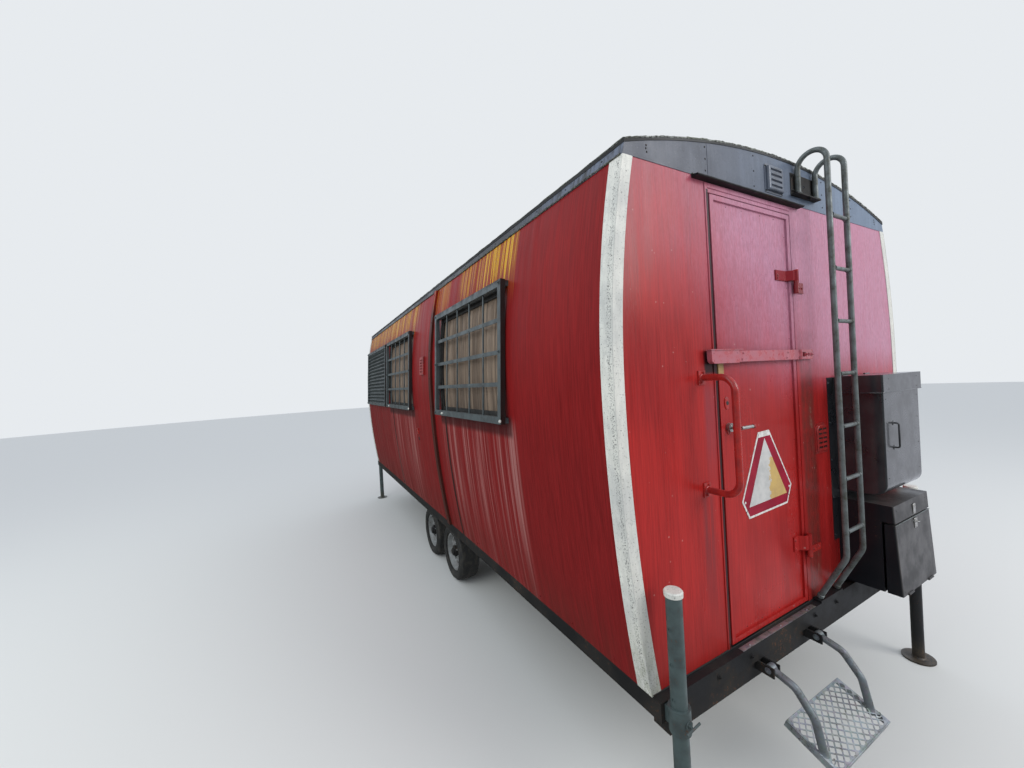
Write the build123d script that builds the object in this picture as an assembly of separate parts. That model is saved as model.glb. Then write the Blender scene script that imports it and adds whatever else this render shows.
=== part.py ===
from build123d import *
import math
import os

# Towed personnel car: a barrel-sided crew wagon on a low tandem chassis.
# Millimetres. X to the car's right, Y forward to the drawbar, Z up from the ground.
# Places along the car are written as distances ahead of the rear wall's outer face.

# body
bodyLength = 6000.0
beltHalfWidth = 1250.0      # widest place of the barrel side
beltHeight = 1850.0
eaveTuck = 120.0            # the eave stands this far in from the belt
sillTuck = 105.0            # and the foot of the side this far
eaveHeight = 2809.0
crownRise = 161.0           # from the eave to the roof's middle
wallBottom = 660.0
wallThickness = 50.0
roofThickness = 40.0
roofCap = 16.0              # upper layer of the roof, which reaches past the walls
roofOverhang = 5.0          # at the ends
eaveOverhang = 9.0          # along the sides
fasciaDrop = 65.0           # from the eave to the foot of the fascia
sheetThickness = 2.5        # fascia and corner sheets on the walls
cornerOnEnd = 48.0
cornerOnSide = 70.0
floorRise = 30.0            # the floor's top above the walls' foot
floorThickness = 60.0
floorGap = 0.5              # from the floor's edge to the walls
cutSpare = 100.0            # how far a cutting block reaches past what it cuts

eaveHalfWidth = beltHalfWidth - eaveTuck
sillHalfWidth = beltHalfWidth - sillTuck
crownHeight = eaveHeight + crownRise
fasciaBottom = eaveHeight - fasciaDrop
floorTop = wallBottom + floorRise
floorBottom = floorTop - floorThickness

# side windows, louvre panel and battens
windowBottom = beltHeight - 160.0
windowTop = beltHeight + 600.0
grilleMargin = 35.0         # grille past the window opening at each end
grilleRise = 30.0           # and above and below it
grilleDepth = 30.0
grilleGap = 3.0             # between the wall's bulge and the grille's back
grilleBar = 40.0            # width of the outer frame's bars
rodDiameter = 12.0
rodCount = 4
flatCount = 3
flatHeight = 25.0
flatThickness = 6.0
windowFrameWidth = 35.0
windowFrameDepth = 40.0
windowFrameInset = 8.0      # from the wall's outer face
boardInset = 22.0
boardThickness = 18.0
boardCount = 9
boardGroove = 4.0
# name, start, end of each window opening along the side
windowTable = [
    ("rear", 895.0, 2045.0),
    ("front", 2995.0, 4145.0),
]
louvreStart = 4260.0
louvreEnd = 5760.0
slatCount = 15
slatThickness = 5.0
slatAngle = 40.0
louvreBacking = 4.0
battenWidth = 60.0
battenDepth = 20.0
battenPlaces = [2290.0]
grilleBottom = windowBottom - grilleRise
grilleTop = windowTop + grilleRise

# rear door
doorLeft = -636.0
doorRight = 8.0
doorBottom = wallBottom + 12.0
doorTop = fasciaBottom - 62.0
doorThickness = 45.0
doorGapLock = 18.0
doorGapHinge = 6.0
doorGapTop = 5.0
doorPanelInset = 22.0       # from the leaf's top and bottom
doorPanelSide = 25.0        # from the leaf's sides
doorPanelRecess = 9.0
frameWidth = 18.0
frameDepth = 4.0
frameMargin = 18.0          # from the opening's top to the strip over it
hingeX = doorRight + 4.0    # hinge line
hingeStandOff = 18.0
hingePinRadius = 7.0
knuckleRadius = 12.0
hingeClearance = 0.4
hingeLeaf = 6.0
hingeLeafMargin = 2.0       # from a leaf's edges to its knuckle's ends
hingeCap = 6.0              # closed top of the door's knuckle
hingeLift = 4.0             # from the pin's top to that cap
doorLeafBend = (32.0, 56.0)     # start and end of a leaf's bend, from the hinge line
wallLeafBend = (14.0, 34.0)
# name, bottom, height of the wall's knuckle, whole height, reach of the door's and the wall's leaf
hingeTable = [
    ("lower", wallBottom + 246.0, 38.0, 120.0, 100.0, 141.0),
    ("upper", doorTop - 406.0, 60.0, 119.0, 145.0, 92.0),
]

# security bar across the door, carried by its own knuckle on the hinge line
barBottom = beltHeight + 82.0
barHeight = 50.0
barDepth = 12.0
barStandOff = 10.0
barLeft = doorLeft + 72.0
barTongue = 22.0            # height of the bar's own knuckle
barKnuckleGap = 1.0
barEndGap = 18.0            # from the hinge line to the end of the bar's full height
barStudPlaces = [doorLeft + 150.0, doorRight - 120.0]
barStudWidth = 30.0
barStudHeight = 34.0
lugLeft = hingeX + 58.0
lugRight = hingeX + 138.0
lugDepth = 14.0
lugHole = 9.0
lockBoxLeft = doorLeft - 88.0
lockBoxRight = doorLeft + 107.0
lockBoxBottom = barBottom - 4.0
lockBoxHeight = 62.0
lockBoxFront = 33.0         # its front and back, from the wall
lockBoxBack = 10.0
lockBoxWall = 4.0
lockBoxRound = 22.0
lockPlateLeft = 8.0         # the cover plate reaches past the housing
lockPlateRight = 30.0
lockPlateFront = 5.0

# door furniture
leverX = doorLeft + 64.0
leverHeight = beltHeight - 212.0
leverLength = 91.0
leverStandOff = 50.0
leverRadius = 8.0
leverRose = 20.0
leverRoseFront = 8.0        # front of the rose, from the wall's face
triangleCentreX = doorLeft + 348.0
triangleBottom = wallBottom + 540.0
triangleTilt = 2.2          # degrees, its right side up
triangleHeight = 392.0
triangleTopWidth = 92.0
triangleBaseWidth = 420.0
triangleFootWidth = 327.0
triangleFootHeight = 88.0
triangleThickness = 2.0

# things on the rear wall
rainRailLeft = -752.0
rainRailRight = 100.0
rainRailHeight = fasciaBottom - 3.0
rainRailDepth = 30.0
rainRailDrop = 12.0
rainRailNose = 8.0
rainRailRise = 2.5
handleX = -758.0
handleTop = beltHeight + 21.0
handleLength = 481.0
handleStandOff = 148.0
handleTube = 28.0
handleBend = 62.0
flangeWidth = 44.0
flangeHeight = 60.0
flangeThickness = 6.0
handleBottom = handleTop - handleLength
ladderLeft = 76.0
ladderSpacing = 178.0
ladderStandOff = 150.0
ladderTube = 26.0
ladderHookReach = 19.0      # the hook's inner leg from the wall
ladderHookFoot = eaveHeight - 12.0
ladderHookTop = eaveHeight + 111.0      # where the hook's arc starts
ladderBend = wallBottom + 270.0
ladderFoot = wallBottom + 16.0
ladderFootReach = 22.0
ladderBendRadius = 90.0
ladderShelf = 7.0
ladderShelfReach = 36.0
ladderPlate = 3.0
ladderPlateHeight = 118.0
ladderPlateLeft = 42.0      # past the left and the right rail
ladderPlateRight = 20.0
ladderPlateHole = 6.0
ladderSeatGap = 0.2
ladderSeatMargin = 25.0
rungDiameter = 20.0
rungFirst = wallBottom + 396.0
rungPitch = 264.0
rungCount = 7
ventPlate = 3.0
hoodShare = 0.86            # size of a vent's raised hood against its plate
slotShare = 0.42            # height of a slot against the rows' pitch
slotTilt = 25.0
# name, left, bottom, width, height, rounding of the top corners, hood's depth
ventTable = [
    ("upper", -202.0, fasciaBottom + 23.0, 153.0, 143.0, 14.0, 15.0),
    ("lower", 160.0, beltHeight - 434.0, 122.0, 165.0, 42.0, 8.0),
]
ventSlotCount = {"upper": (4, 1), "lower": (5, 2)}      # rows and columns
sideVentPlace = 2505.0
sideVentBottom = beltHeight + 160.0
sideVentWidth = 130.0
sideVentHeight = 168.0
sideVentDepth = 14.0
sideVentGap = 0.3
sideVentSlotCount = 5

# boxes on the rear wall
boxGap = 1.5                # from the wall to a box's back, filled by the back plate
backPlateLeft = 312.0
backPlateRight = 860.0
lowerBoxLeft = 370.0
lowerBoxRight = 833.0
lowerBoxBottom = wallBottom + 29.0
lowerBoxTop = lowerBoxBottom + 457.0
lowerBoxDepthTop = 238.0
lowerBoxDepthBottom = 262.0
lowerCollar = 88.0          # fixed band above the flap
flapThickness = 4.0
flapReturn = 48.0           # how far the flap's sides reach back from the box's upper front edge
flapClearance = 10.0
upperBoxLeft = 380.0
upperBoxRight = 850.0
upperBoxBottom = lowerBoxTop + 42.0
upperBoxTop = upperBoxBottom + 640.0
upperBoxDepth = 217.0
upperBoxRound = 65.0
upperLidHeight = 95.0
upperLidSide = 20.0         # the lid past the body at each side
upperLidFront = 9.0
lidClearance = 6.0
backPlateBottom = lowerBoxBottom + 224.0
backPlateTop = upperBoxTop - 5.0
boxSheet = 3.0
boxRound = 8.0              # rounding of the outer and the inner edges
boxRoundInside = 5.0
lidHingeReach = 20.0        # from the wall to the lid's hinge line
boxHingeInset = 95.0        # from a box's side to the middle of its hinges
boxHingeHalf = 30.0
boxKnuckleHalf = 11.0
boxKnuckleRadius = 6.0
boxPinRadius = 3.0
boxHingeGap = 1.0
boxHingeLeaf = 12.0
boxHingeStrap = 60.0        # how far the lower box's hinge straps reach under its floor
pinClearance = 0.3

# chassis
sillHeight = 75.0
sillWidth = 55.0
sillStandOut = 42.0         # the rear and front sills stand out past the walls
crossHeight = 60.0
crossWidth = 60.0
channelWeb = 6.0
railHeight = 120.0
railWidth = 60.0
railX = 600.0
crossPlaces = [500.0, 1300.0, 2100.0, 2700.0, 3500.0, 4300.0, 5100.0, 5700.0]
rearBeamOut = 30.0          # past the rear wall
rearBeamHeight = 80.0
rearBeamGap = 0.5           # to the chassis rails' ends
sillBottom = wallBottom - sillHeight
crossBottom = floorBottom - crossHeight
railTop = crossBottom
railBottom = railTop - railHeight

# running gear
wheelRadius = 263.0
tyreWidth = 195.0
rimRadius = 172.0
rimHoleCount = 8
rimHoleRadius = 17.0
rimHoleCircle = 115.0
wheelX = 950.0
axlePlaces = {"rear": 2610.0, "front": 3290.0}
axleBeam = 80.0
axleBeamDrop = 60.0         # the beam's middle below the chassis rails
axleBeamLead = 150.0
axleSpare = 25.0            # from the tyre's inner side to the swing arm
axleSeatHalf = (50.0, 60.0)     # half width and half length of the seats under the rails
swingArmThickness = 28.0
swingArmHead = 45.0         # half height of the arm at the beam
swingArmToe = 35.0          # about the same at the wheel
stubRadius = 22.0
hubRadius = 52.0
hubInside = 14.0            # the hub's back and front, from the wheel's middle plane
hubOutside = 68.0
drumRadius = 100.0
hubClearance = 0.5
axleBeamHeight = railBottom - axleBeamDrop

# drawbar, eye and jack
drawbarLength = 1250.0
drawbarHeight = 120.0
drawbarWidth = 60.0
drawbarNeck = 90.0
drawbarRoot = 700.0         # how far the arms run back between the chassis rails
drawbarGap = 2.0            # from an arm to its rail
drawbarCrotch = 120.0       # solid length behind the tip
drawbarBend = 40.0          # the inner edge bends this far behind the front wall
drawbarTie = (330.0, 400.0)     # start and end of the tie ahead of the front wall
drawbarTieHalf = 330.0
drawbarRearTie = 80.0
eyeBore = 40.0
eyeOuter = 92.0
eyeThickness = 30.0
eyeShank = 150.0
eyeShankHalf = 22.0
eyeFlange = 14.0
eyeFlangeHalf = 55.0
eyeShoulder = 60.0
jackPlace = 720.0           # ahead of the front wall
jackTube = 70.0
jackInner = 57.0
jackFoot = 200.0
jackFootThickness = 8.0
jackDrop = 60.0             # the outer tube below the drawbar
jackTop = railBottom + 430.0
jackPlateWidth = 360.0
jackPlateHalf = 60.0
jackPlateThickness = 12.0
crankRadius = 9.0
crankHub = 12.0
crankRise = 25.0
crankReach = 150.0
crankHandle = 105.0

# corner support legs
legX = beltHalfWidth - sillTuck - 45.0
legReach = 88.0
legTube = 60.0
legWall = 4.0
legTop = wallBottom + 430.0
legFoot = 160.0
legFootThickness = 8.0
legClampHeight = 90.0
legClampWall = 10.0
legArmHalf = (25.0, 30.0)       # half width and half height of the clamp's arm

# entry step
stepLeft = -519.0
stepRight = -69.0
stepPivotReach = 85.0
stepPivotHeight = sillBottom - 19.0
stepTube = 32.0
stepPinRadius = 8.0
stepEyeWall = 4.0
stepArmInset = 18.0
stepArmBends = [(95.0, 22.0), (165.0, 110.0)]   # reach and drop of an arm's bends from its pivot
stepArmRadius = 60.0
stepArmShare = 0.72         # where an arm meets the tread, from its back edge
stepArmDrop = 4.0
stepCheek = 8.0
stepCheekGap = 2.0
stepCheekHalf = 24.0
stepTilt = 20.6
stepDepth = 206.0
stepBackReach = 140.0
stepBackHeight = stepPivotHeight - 192.0
stepBar = 30.0
stepBarThickness = 5.0
meshPitchAlong = 45.0
meshPitchAcross = 29.0
meshStrand = 5.0
meshThickness = 3.0
meshLeastArea = 60.0        # smaller remains of a cell at the edge stay closed

# worked out from the sizes above
upperRadius = ((eaveHeight - beltHeight) ** 2 + eaveTuck ** 2) / (2 * eaveTuck)
lowerRadius = ((beltHeight - wallBottom) ** 2 + sillTuck ** 2) / (2 * sillTuck)
roofRadius = (eaveHalfWidth ** 2 + crownRise ** 2) / (2 * crownRise)
stepTiltRad = math.radians(stepTilt)
rearReach = stepBackReach + stepDepth * math.cos(stepTiltRad) + stepBar * math.sin(stepTiltRad) / 2
frontReach = bodyLength + drawbarLength + eyeOuter / 2
yRear = -(frontReach - rearReach) / 2
yFront = yRear + bodyLength
pinY = yRear - hingeStandOff


def save(name, shape):
    export_step(shape, "parts/" + name + ".step")


def block(x0, x1, y0, y1, z0, z1):
    centre = ((x0 + x1) / 2, (y0 + y1) / 2, (z0 + z1) / 2)
    return Pos(*centre) * Box(x1 - x0, y1 - y0, z1 - z0)


def rod(start, end, radius):
    axis = Vector(*end) - Vector(*start)
    return Plane(origin=start, z_dir=axis) * Cylinder(
        radius, axis.length, align=(Align.CENTER, Align.CENTER, Align.MIN))


def tube(points, radii, diameter):
    path = FilletPolyline(*points, radius=radii)
    start = Plane(origin=path @ 0, z_dir=path % 0)
    return sweep(start * Circle(diameter / 2), path=path)


def prism(points, axis, start, end):
    # a closed outline given in the plane across the axis, pulled along it
    if axis == "x":
        corners = [(start, a, b) for a, b in points]
        pull = (end - start, 0, 0)
    elif axis == "y":
        corners = [(a, start, b) for a, b in points]
        pull = (0, end - start, 0)
    else:
        corners = [(a, b, start) for a, b in points]
        pull = (0, 0, end - start)
    face = Face(Wire.make_polygon([Vector(*c) for c in corners], close=True))
    return extrude(face, amount=Vector(*pull).length, dir=pull)


# body section

def sideX(height, inset=0.0):
    radius = upperRadius if height >= beltHeight else lowerRadius
    centre = beltHalfWidth - radius
    return centre + math.sqrt((radius - inset) ** 2 - (height - beltHeight) ** 2)


def roofZ(x, inset=0.0):
    return crownHeight - roofRadius + math.sqrt((roofRadius - inset) ** 2 - x ** 2)


def eaveCorner(sideInset, roofInset):
    # where the side's arc meets the roof's arc, found by halving
    low, high = beltHeight, crownHeight + 100
    for _ in range(60):
        middle = (low + high) / 2
        if middle < roofZ(sideX(middle, sideInset), roofInset):
            low = middle
        else:
            high = middle
    return sideX(low, sideInset), low


def arcThrough(a, b, c, y=0.0):
    return ThreePointArc((a[0], y, a[1]), (b[0], y, b[1]), (c[0], y, c[1]))


def sectionFace(sideInset, roofInset, bottom, y):
    cornerX, cornerZ = eaveCorner(sideInset, roofInset)

    def side(sign):
        def at(z):
            return (sign * sideX(z, sideInset), z)
        lower = arcThrough(at(bottom), at((bottom + beltHeight) / 2), at(beltHeight), y)
        upper = arcThrough(at(beltHeight), at((beltHeight + cornerZ) / 2), at(cornerZ), y)
        return [lower, upper]
    roofArc = arcThrough((-cornerX, cornerZ), (0, roofZ(0, roofInset)), (cornerX, cornerZ), y)
    footX = sideX(bottom, sideInset)
    foot = Line((-footX, y, bottom), (footX, y, bottom))
    return Face(Wire(side(1) + side(-1) + [roofArc, foot]))


def sectionSolid(sideInset, roofInset, bottom, y0, y1):
    return extrude(sectionFace(sideInset, roofInset, bottom, y0), amount=y1 - y0, dir=(0, 1, 0))


def sideShell(outer, inner, bottom, y0, y1):
    # right side between two insets, closed on top by the roof's underside
    cornerOut = eaveCorner(outer, roofThickness)
    cornerIn = eaveCorner(inner, roofThickness)

    def at(z, inset):
        return (sideX(z, inset), z)
    midX = (cornerOut[0] + cornerIn[0]) / 2
    edges = [
        arcThrough(at(bottom, outer), at((bottom + beltHeight) / 2, outer), at(beltHeight, outer), y0),
        arcThrough(at(beltHeight, outer), at((beltHeight + cornerOut[1]) / 2, outer), cornerOut, y0),
        arcThrough(cornerOut, (midX, roofZ(midX, roofThickness)), cornerIn, y0),
        arcThrough(cornerIn, at((beltHeight + cornerIn[1]) / 2, inner), at(beltHeight, inner), y0),
        arcThrough(at(beltHeight, inner), at((bottom + beltHeight) / 2, inner), at(bottom, inner), y0),
        Line((sideX(bottom, inner), y0, bottom), (sideX(bottom, outer), y0, bottom)),
    ]
    return extrude(Face(Wire(edges)), amount=y1 - y0, dir=(0, 1, 0))


def windowCut(start, end):
    return block(0, beltHalfWidth + cutSpare, yRear + start, yRear + end, windowBottom, windowTop)


def makeSideWall():
    wall = sideShell(0, wallThickness, wallBottom, yRear + wallThickness, yFront - wallThickness)
    for _, start, end in windowTable:
        wall -= windowCut(start, end)
    return wall


def leftSide(shape):
    return mirror(shape, about=Plane.YZ)


def makeRearWall():
    wall = sectionSolid(0, roofThickness, wallBottom, yRear, yRear + wallThickness)
    opening = block(doorLeft - doorGapLock, doorRight + doorGapHinge, yRear - cutSpare,
                    yRear + wallThickness + cutSpare, wallBottom - cutSpare, doorTop + doorGapTop)
    return wall - opening


def makeFrontWall():
    return sectionSolid(0, roofThickness, wallBottom, yFront - wallThickness, yFront)


def roofShell(halfWidth, upper, lower, y0, y1):
    # between two depths below the roof's top
    def arc(inset):
        edge = roofZ(halfWidth, inset)
        return arcThrough((-halfWidth, edge), (0, roofZ(0, inset)), (halfWidth, edge), y0)
    ends = [Line((s * halfWidth, y0, roofZ(halfWidth, upper)), (s * halfWidth, y0, roofZ(halfWidth, lower)))
            for s in (-1, 1)]
    return extrude(Face(Wire([arc(upper), arc(lower)] + ends)), amount=y1 - y0, dir=(0, 1, 0))


def makeRoof():
    cap = roofShell(eaveHalfWidth + eaveOverhang, 0, roofCap, yRear - roofOverhang, yFront + roofOverhang)
    panel = roofShell(beltHalfWidth, roofCap, roofThickness, yRear, yFront)
    panel &= sectionSolid(0, 0, wallBottom, yRear, yFront)
    return cap + panel


def bodySkin(thickness, bottom, top):
    # a sheet around the body from a height up to a depth below the roof's top
    outer = sectionSolid(-thickness, top, bottom, yRear - thickness, yFront + thickness)
    inner = sectionSolid(0, top, bottom - cutSpare, yRear, yFront)
    return outer - inner


def makeFascia():
    return bodySkin(sheetThickness, fasciaBottom, roofCap)


def makeCornerStrips():
    skin = bodySkin(sheetThickness, wallBottom, roofThickness)
    reach = beltHalfWidth + cutSpare
    strips = []
    for sideSign in (-1, 1):
        for yEnd, into in ((yRear, 1), (yFront, -1)):
            ends = sorted((yEnd - into * cutSpare, yEnd + into * cornerOnSide))
            corner = block(*sorted((sideSign * railX, sideSign * reach)), ends[0], ends[1],
                           wallBottom, fasciaBottom)
            onEnd = sectionSolid(cornerOnEnd, 0, wallBottom - cutSpare, yEnd - cutSpare, yEnd + cutSpare)
            strips.append(skin & corner - onEnd)
    return Compound(children=strips)


def makeBattens():
    battens = []
    for place in battenPlaces:
        right = sideShell(-battenDepth, 0, wallBottom, yRear + place - battenWidth / 2,
                          yRear + place + battenWidth / 2)
        right &= block(0, beltHalfWidth + cutSpare, yRear, yFront, wallBottom, fasciaBottom)
        battens += [right, leftSide(right)]
    return Compound(children=battens)


# windows

def grillePlane(place, height):
    # stands on the wall's chord between the grille's bottom and top edges
    foot = (sideX(grilleBottom), grilleBottom)
    head = (sideX(grilleTop), grilleTop)
    lean = math.atan2(foot[0] - head[0], head[1] - foot[1])
    share = (height - foot[1]) / (head[1] - foot[1])
    x = foot[0] + share * (head[0] - foot[0])
    bulge = (grilleTop - grilleBottom) ** 2 / (8 * upperRadius)
    out = bulge + grilleGap
    normal = (math.cos(lean), 0, math.sin(lean))
    origin = (x + out * normal[0], yRear + place, height + out * normal[2])
    return Plane(origin=origin, x_dir=(0, 1, 0), z_dir=normal)


def grilleFrame(width, height):
    outer = Box(width, height, grilleDepth, align=(Align.CENTER, Align.CENTER, Align.MIN))
    inner = Box(width - 2 * grilleBar, height - 2 * grilleBar, 4 * grilleDepth)
    return outer - inner


def grilleFeet(width, height):
    # short spacers from the frame's corners back to the curved wall
    feet = []
    for sx in (-1, 1):
        for sy in (-1, 1):
            x = sx * (width / 2 - grilleBar / 2)
            y = sy * (height / 2 - grilleBar / 2)
            feet.append(Pos(x, y, 0) * Box(grilleBar * 0.8, grilleBar * 0.8, 4 * grilleDepth,
                                           align=(Align.CENTER, Align.CENTER, Align.MAX)))
    return feet


def wallBody():
    return sideShell(-0.3, wallThickness + 300, wallBottom, yRear, yFront)


def makeGrille(start, end):
    width = end - start + 2 * grilleMargin
    height = grilleTop - grilleBottom
    plane = grillePlane((start + end) / 2, (grilleBottom + grilleTop) / 2)
    pieces = grilleFrame(width, height)
    clearWidth = width - 2 * grilleBar
    clearHeight = height - 2 * grilleBar
    for i in range(rodCount):
        x = -clearWidth / 2 + clearWidth * (i + 1) / (rodCount + 1)
        pieces += Pos(x, 0, grilleDepth / 2) * Rot(90, 0, 0) * Cylinder(rodDiameter / 2, clearHeight + 20)
    for i in range(flatCount):
        y = -clearHeight / 2 + clearHeight * (i + 1) / (flatCount + 1)
        pieces += Pos(0, y, grilleDepth / 2) * Box(clearWidth + 20, flatHeight, flatThickness)
    wall = wallBody()
    grille = plane * pieces
    for foot in grilleFeet(width, height):
        grille += (plane * foot) - wall
    return grille


def makeGrilles():
    return [makeGrille(start, end) for _, start, end in windowTable]


def makeLouvrePanel():
    width = louvreEnd - louvreStart
    height = grilleTop - grilleBottom
    plane = grillePlane((louvreStart + louvreEnd) / 2, (grilleBottom + grilleTop) / 2)
    panel = grilleFrame(width, height)
    clearHeight = height - 2 * grilleBar
    slatLength = width - 1.5 * grilleBar
    pitch = clearHeight / slatCount
    backing = Box(slatLength, height - 1.5 * grilleBar, louvreBacking,
                  align=(Align.CENTER, Align.CENTER, Align.MIN))
    panel += backing
    for i in range(slatCount):
        y = -clearHeight / 2 + pitch * (i + 0.5)
        slat = Box(slatLength, slatThickness, pitch * 0.8)
        panel += Pos(0, y, grilleDepth * 0.55) * Rot(-slatAngle, 0, 0) * slat
    wall = wallBody()
    solid = plane * panel
    for foot in grilleFeet(width, height):
        solid += (plane * foot) - wall
    return solid


def makeWindowFrames():
    frames = []
    w = windowFrameWidth
    for _, start, end in windowTable:
        shell = sideShell(windowFrameInset, windowFrameInset + windowFrameDepth, wallBottom,
                          yRear + start, yRear + end)
        outer = block(0, beltHalfWidth + cutSpare, yRear + start, yRear + end, windowBottom, windowTop)
        inner = block(0, beltHalfWidth + cutSpare, yRear + start + w, yRear + end - w,
                      windowBottom + w, windowTop - w)
        frame = (shell & outer) - inner
        frames += [frame, leftSide(frame)]
    return Compound(children=frames)


def makeWindowBoards():
    panels = []
    w = windowFrameWidth
    for _, start, end in windowTable:
        shell = sideShell(boardInset, boardInset + boardThickness, wallBottom,
                          yRear + start + w, yRear + end - w)
        panel = shell & block(0, beltHalfWidth + cutSpare, yRear + start + w, yRear + end - w,
                              windowBottom + w, windowTop - w)
        pitch = (end - start - 2 * w) / boardCount
        grooves = sideShell(boardInset - 1, boardInset + boardGroove, wallBottom, yRear + start, yRear + end)
        for i in range(1, boardCount):
            y = yRear + start + w + pitch * i
            panel -= grooves & block(0, beltHalfWidth + cutSpare, y - boardGroove / 2, y + boardGroove / 2,
                                     windowBottom, windowTop)
        panels += [panel, leftSide(panel)]
    return Compound(children=panels)


# vents: pressed covers with a rounded top and a row of slots

def archedPlate(width, height, rounding, depth):
    # an upright plate with round top corners, its back in the plane y = 0
    whole = Plane.XZ * RectangleRounded(width, height, rounding)
    lower = Pos(0, 0, -height / 4) * (Plane.XZ * Rectangle(width, height / 2))
    return extrude(whole + lower, amount=depth, dir=(0, -1, 0))


def ventCover(width, height, rounding, hood, slotCount):
    # a thin plate with a raised hood, and slots cut through the hood
    cover = archedPlate(width, height, rounding, ventPlate)
    raised = archedPlate(width * hoodShare, height * hoodShare, rounding * hoodShare, ventPlate + hood)
    front = raised.faces().sort_by(Axis.Y)[0]
    cover += fillet(front.edges(), hood * 0.6)
    rows, columns = slotCount
    rowPitch = height * hoodShare * hoodShare / rows
    columnPitch = width * hoodShare * hoodShare / columns
    for i in range(rows):
        z = rowPitch * (i - (rows - 1) / 2)
        for j in range(columns):
            x = columnPitch * (j - (columns - 1) / 2)
            slot = Box(columnPitch * 0.85, hood, rowPitch * slotShare)
            cover -= Pos(x, -ventPlate - hood, z) * Rot(-slotTilt, 0, 0) * slot
    return cover


def makeSideVent():
    plate = sideShell(-sideVentDepth, -sideVentGap, wallBottom, yRear + sideVentPlace,
                      yRear + sideVentPlace + sideVentWidth)
    plate &= block(0, beltHalfWidth + cutSpare, yRear, yFront, sideVentBottom,
                   sideVentBottom + sideVentHeight)
    pitch = sideVentHeight * 0.8 / sideVentSlotCount
    for i in range(sideVentSlotCount):
        z = sideVentBottom + sideVentHeight * 0.1 + pitch * (i + 0.5)
        plate -= Pos(sideX(z) + sideVentDepth, yRear + sideVentPlace + sideVentWidth / 2, z) * (
            Box(sideVentDepth, sideVentWidth * 0.7, pitch * 0.45))
    return plate


def makeVents():
    covers = []
    for name, left, bottom, width, height, rounding, hood in ventTable:
        cover = Pos(left + width / 2, yRear, bottom + height / 2) * (
            ventCover(width, height, rounding, hood, ventSlotCount[name]))
        if name == "upper":
            cover = Pos(0, -sheetThickness, 0) * cover
            covers.append(mirror(cover, about=Plane.XZ.offset(-(yRear + yFront) / 2)))
        covers.append(cover)
    plate = makeSideVent()
    covers += [plate, leftSide(plate)]
    return Compound(children=covers)


# door

def hingeLeafPlan(sign, bend, reach, face):
    # from the hinge line along the barrel's middle, then down to the face that the leaf lies on
    half = hingeLeaf / 2
    near, far = hingeX + sign * bend[0], hingeX + sign * bend[1]
    end = hingeX + sign * reach
    return [(hingeX, pinY - half), (near, pinY - half), (far, face - hingeLeaf), (end, face - hingeLeaf),
            (end, face), (far, face), (near, pinY + half), (hingeX, pinY + half)]


def makeDoor():
    y0 = yRear
    leaf = block(doorLeft, doorRight, y0, y0 + doorThickness, doorBottom, doorTop)
    leaf -= block(doorLeft + doorPanelSide, doorRight - doorPanelSide, y0 - 1,
                  y0 + doorPanelRecess, doorBottom + doorPanelInset, doorTop - doorPanelInset)
    for _, low, knuckle, height, reach, _ in hingeTable:
        start = low + knuckle + pinClearance
        high = low + height
        plan = hingeLeafPlan(-1, doorLeafBend, reach, y0 + doorPanelRecess)
        leaf += prism(plan, "z", start + hingeLeafMargin, high - hingeCap)
        leaf += rod((hingeX, pinY, start), (hingeX, pinY, high), knuckleRadius)
        leaf -= rod((hingeX, pinY, low), (hingeX, pinY, high - hingeCap), hingePinRadius + hingeClearance)
    return leaf


def makeDoorFrame():
    # a flat strip up the lock side and another over the door
    left = doorLeft - doorGapLock - frameWidth
    right = doorRight + doorGapHinge
    foot = doorTop + doorGapTop + frameMargin
    upright = block(left, left + frameWidth, yRear - frameDepth, yRear, wallBottom, foot + frameWidth)
    head = block(left, right, yRear - frameDepth, yRear, foot, foot + frameWidth)
    return upright + head


def makeHingeMounts():
    mounts = []
    for _, low, knuckle, height, _, reach in hingeTable:
        split = low + knuckle
        mount = prism(hingeLeafPlan(1, wallLeafBend, reach, yRear), "z", low + hingeLeafMargin,
                      split - hingeLeafMargin)
        mount += rod((hingeX, pinY, low), (hingeX, pinY, split), knuckleRadius)
        mount += rod((hingeX, pinY, low), (hingeX, pinY, low + height - hingeCap - hingeLift), hingePinRadius)
        mounts.append(mount)
    return Compound(children=mounts + [makeBarLug()])


def tongueEnds():
    middle = barBottom + barHeight / 2
    return middle - barTongue / 2, middle + barTongue / 2


def makeBarLug():
    # a plate on the wall with two ears that hold the bar's knuckle between them
    top = barBottom + barHeight
    low, high = tongueEnds()
    lug = block(lugLeft, lugRight, yRear - lugDepth, yRear, barBottom, top)
    lug -= rod(((lugLeft + lugRight) / 2, yRear - lugDepth - 1, (barBottom + top) / 2),
               ((lugLeft + lugRight) / 2, yRear + 1, (barBottom + top) / 2), lugHole)
    for start, end in ((barBottom, low - barKnuckleGap), (high + barKnuckleGap, top)):
        lug += rod((hingeX, pinY, start), (hingeX, pinY, end), knuckleRadius)
        lug += block(hingeX, lugLeft + 2 * hingeLeaf, pinY - hingeLeaf, pinY + hingeLeaf, start, end)
    return lug + rod((hingeX, pinY, barBottom), (hingeX, pinY, top), hingePinRadius)


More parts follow.
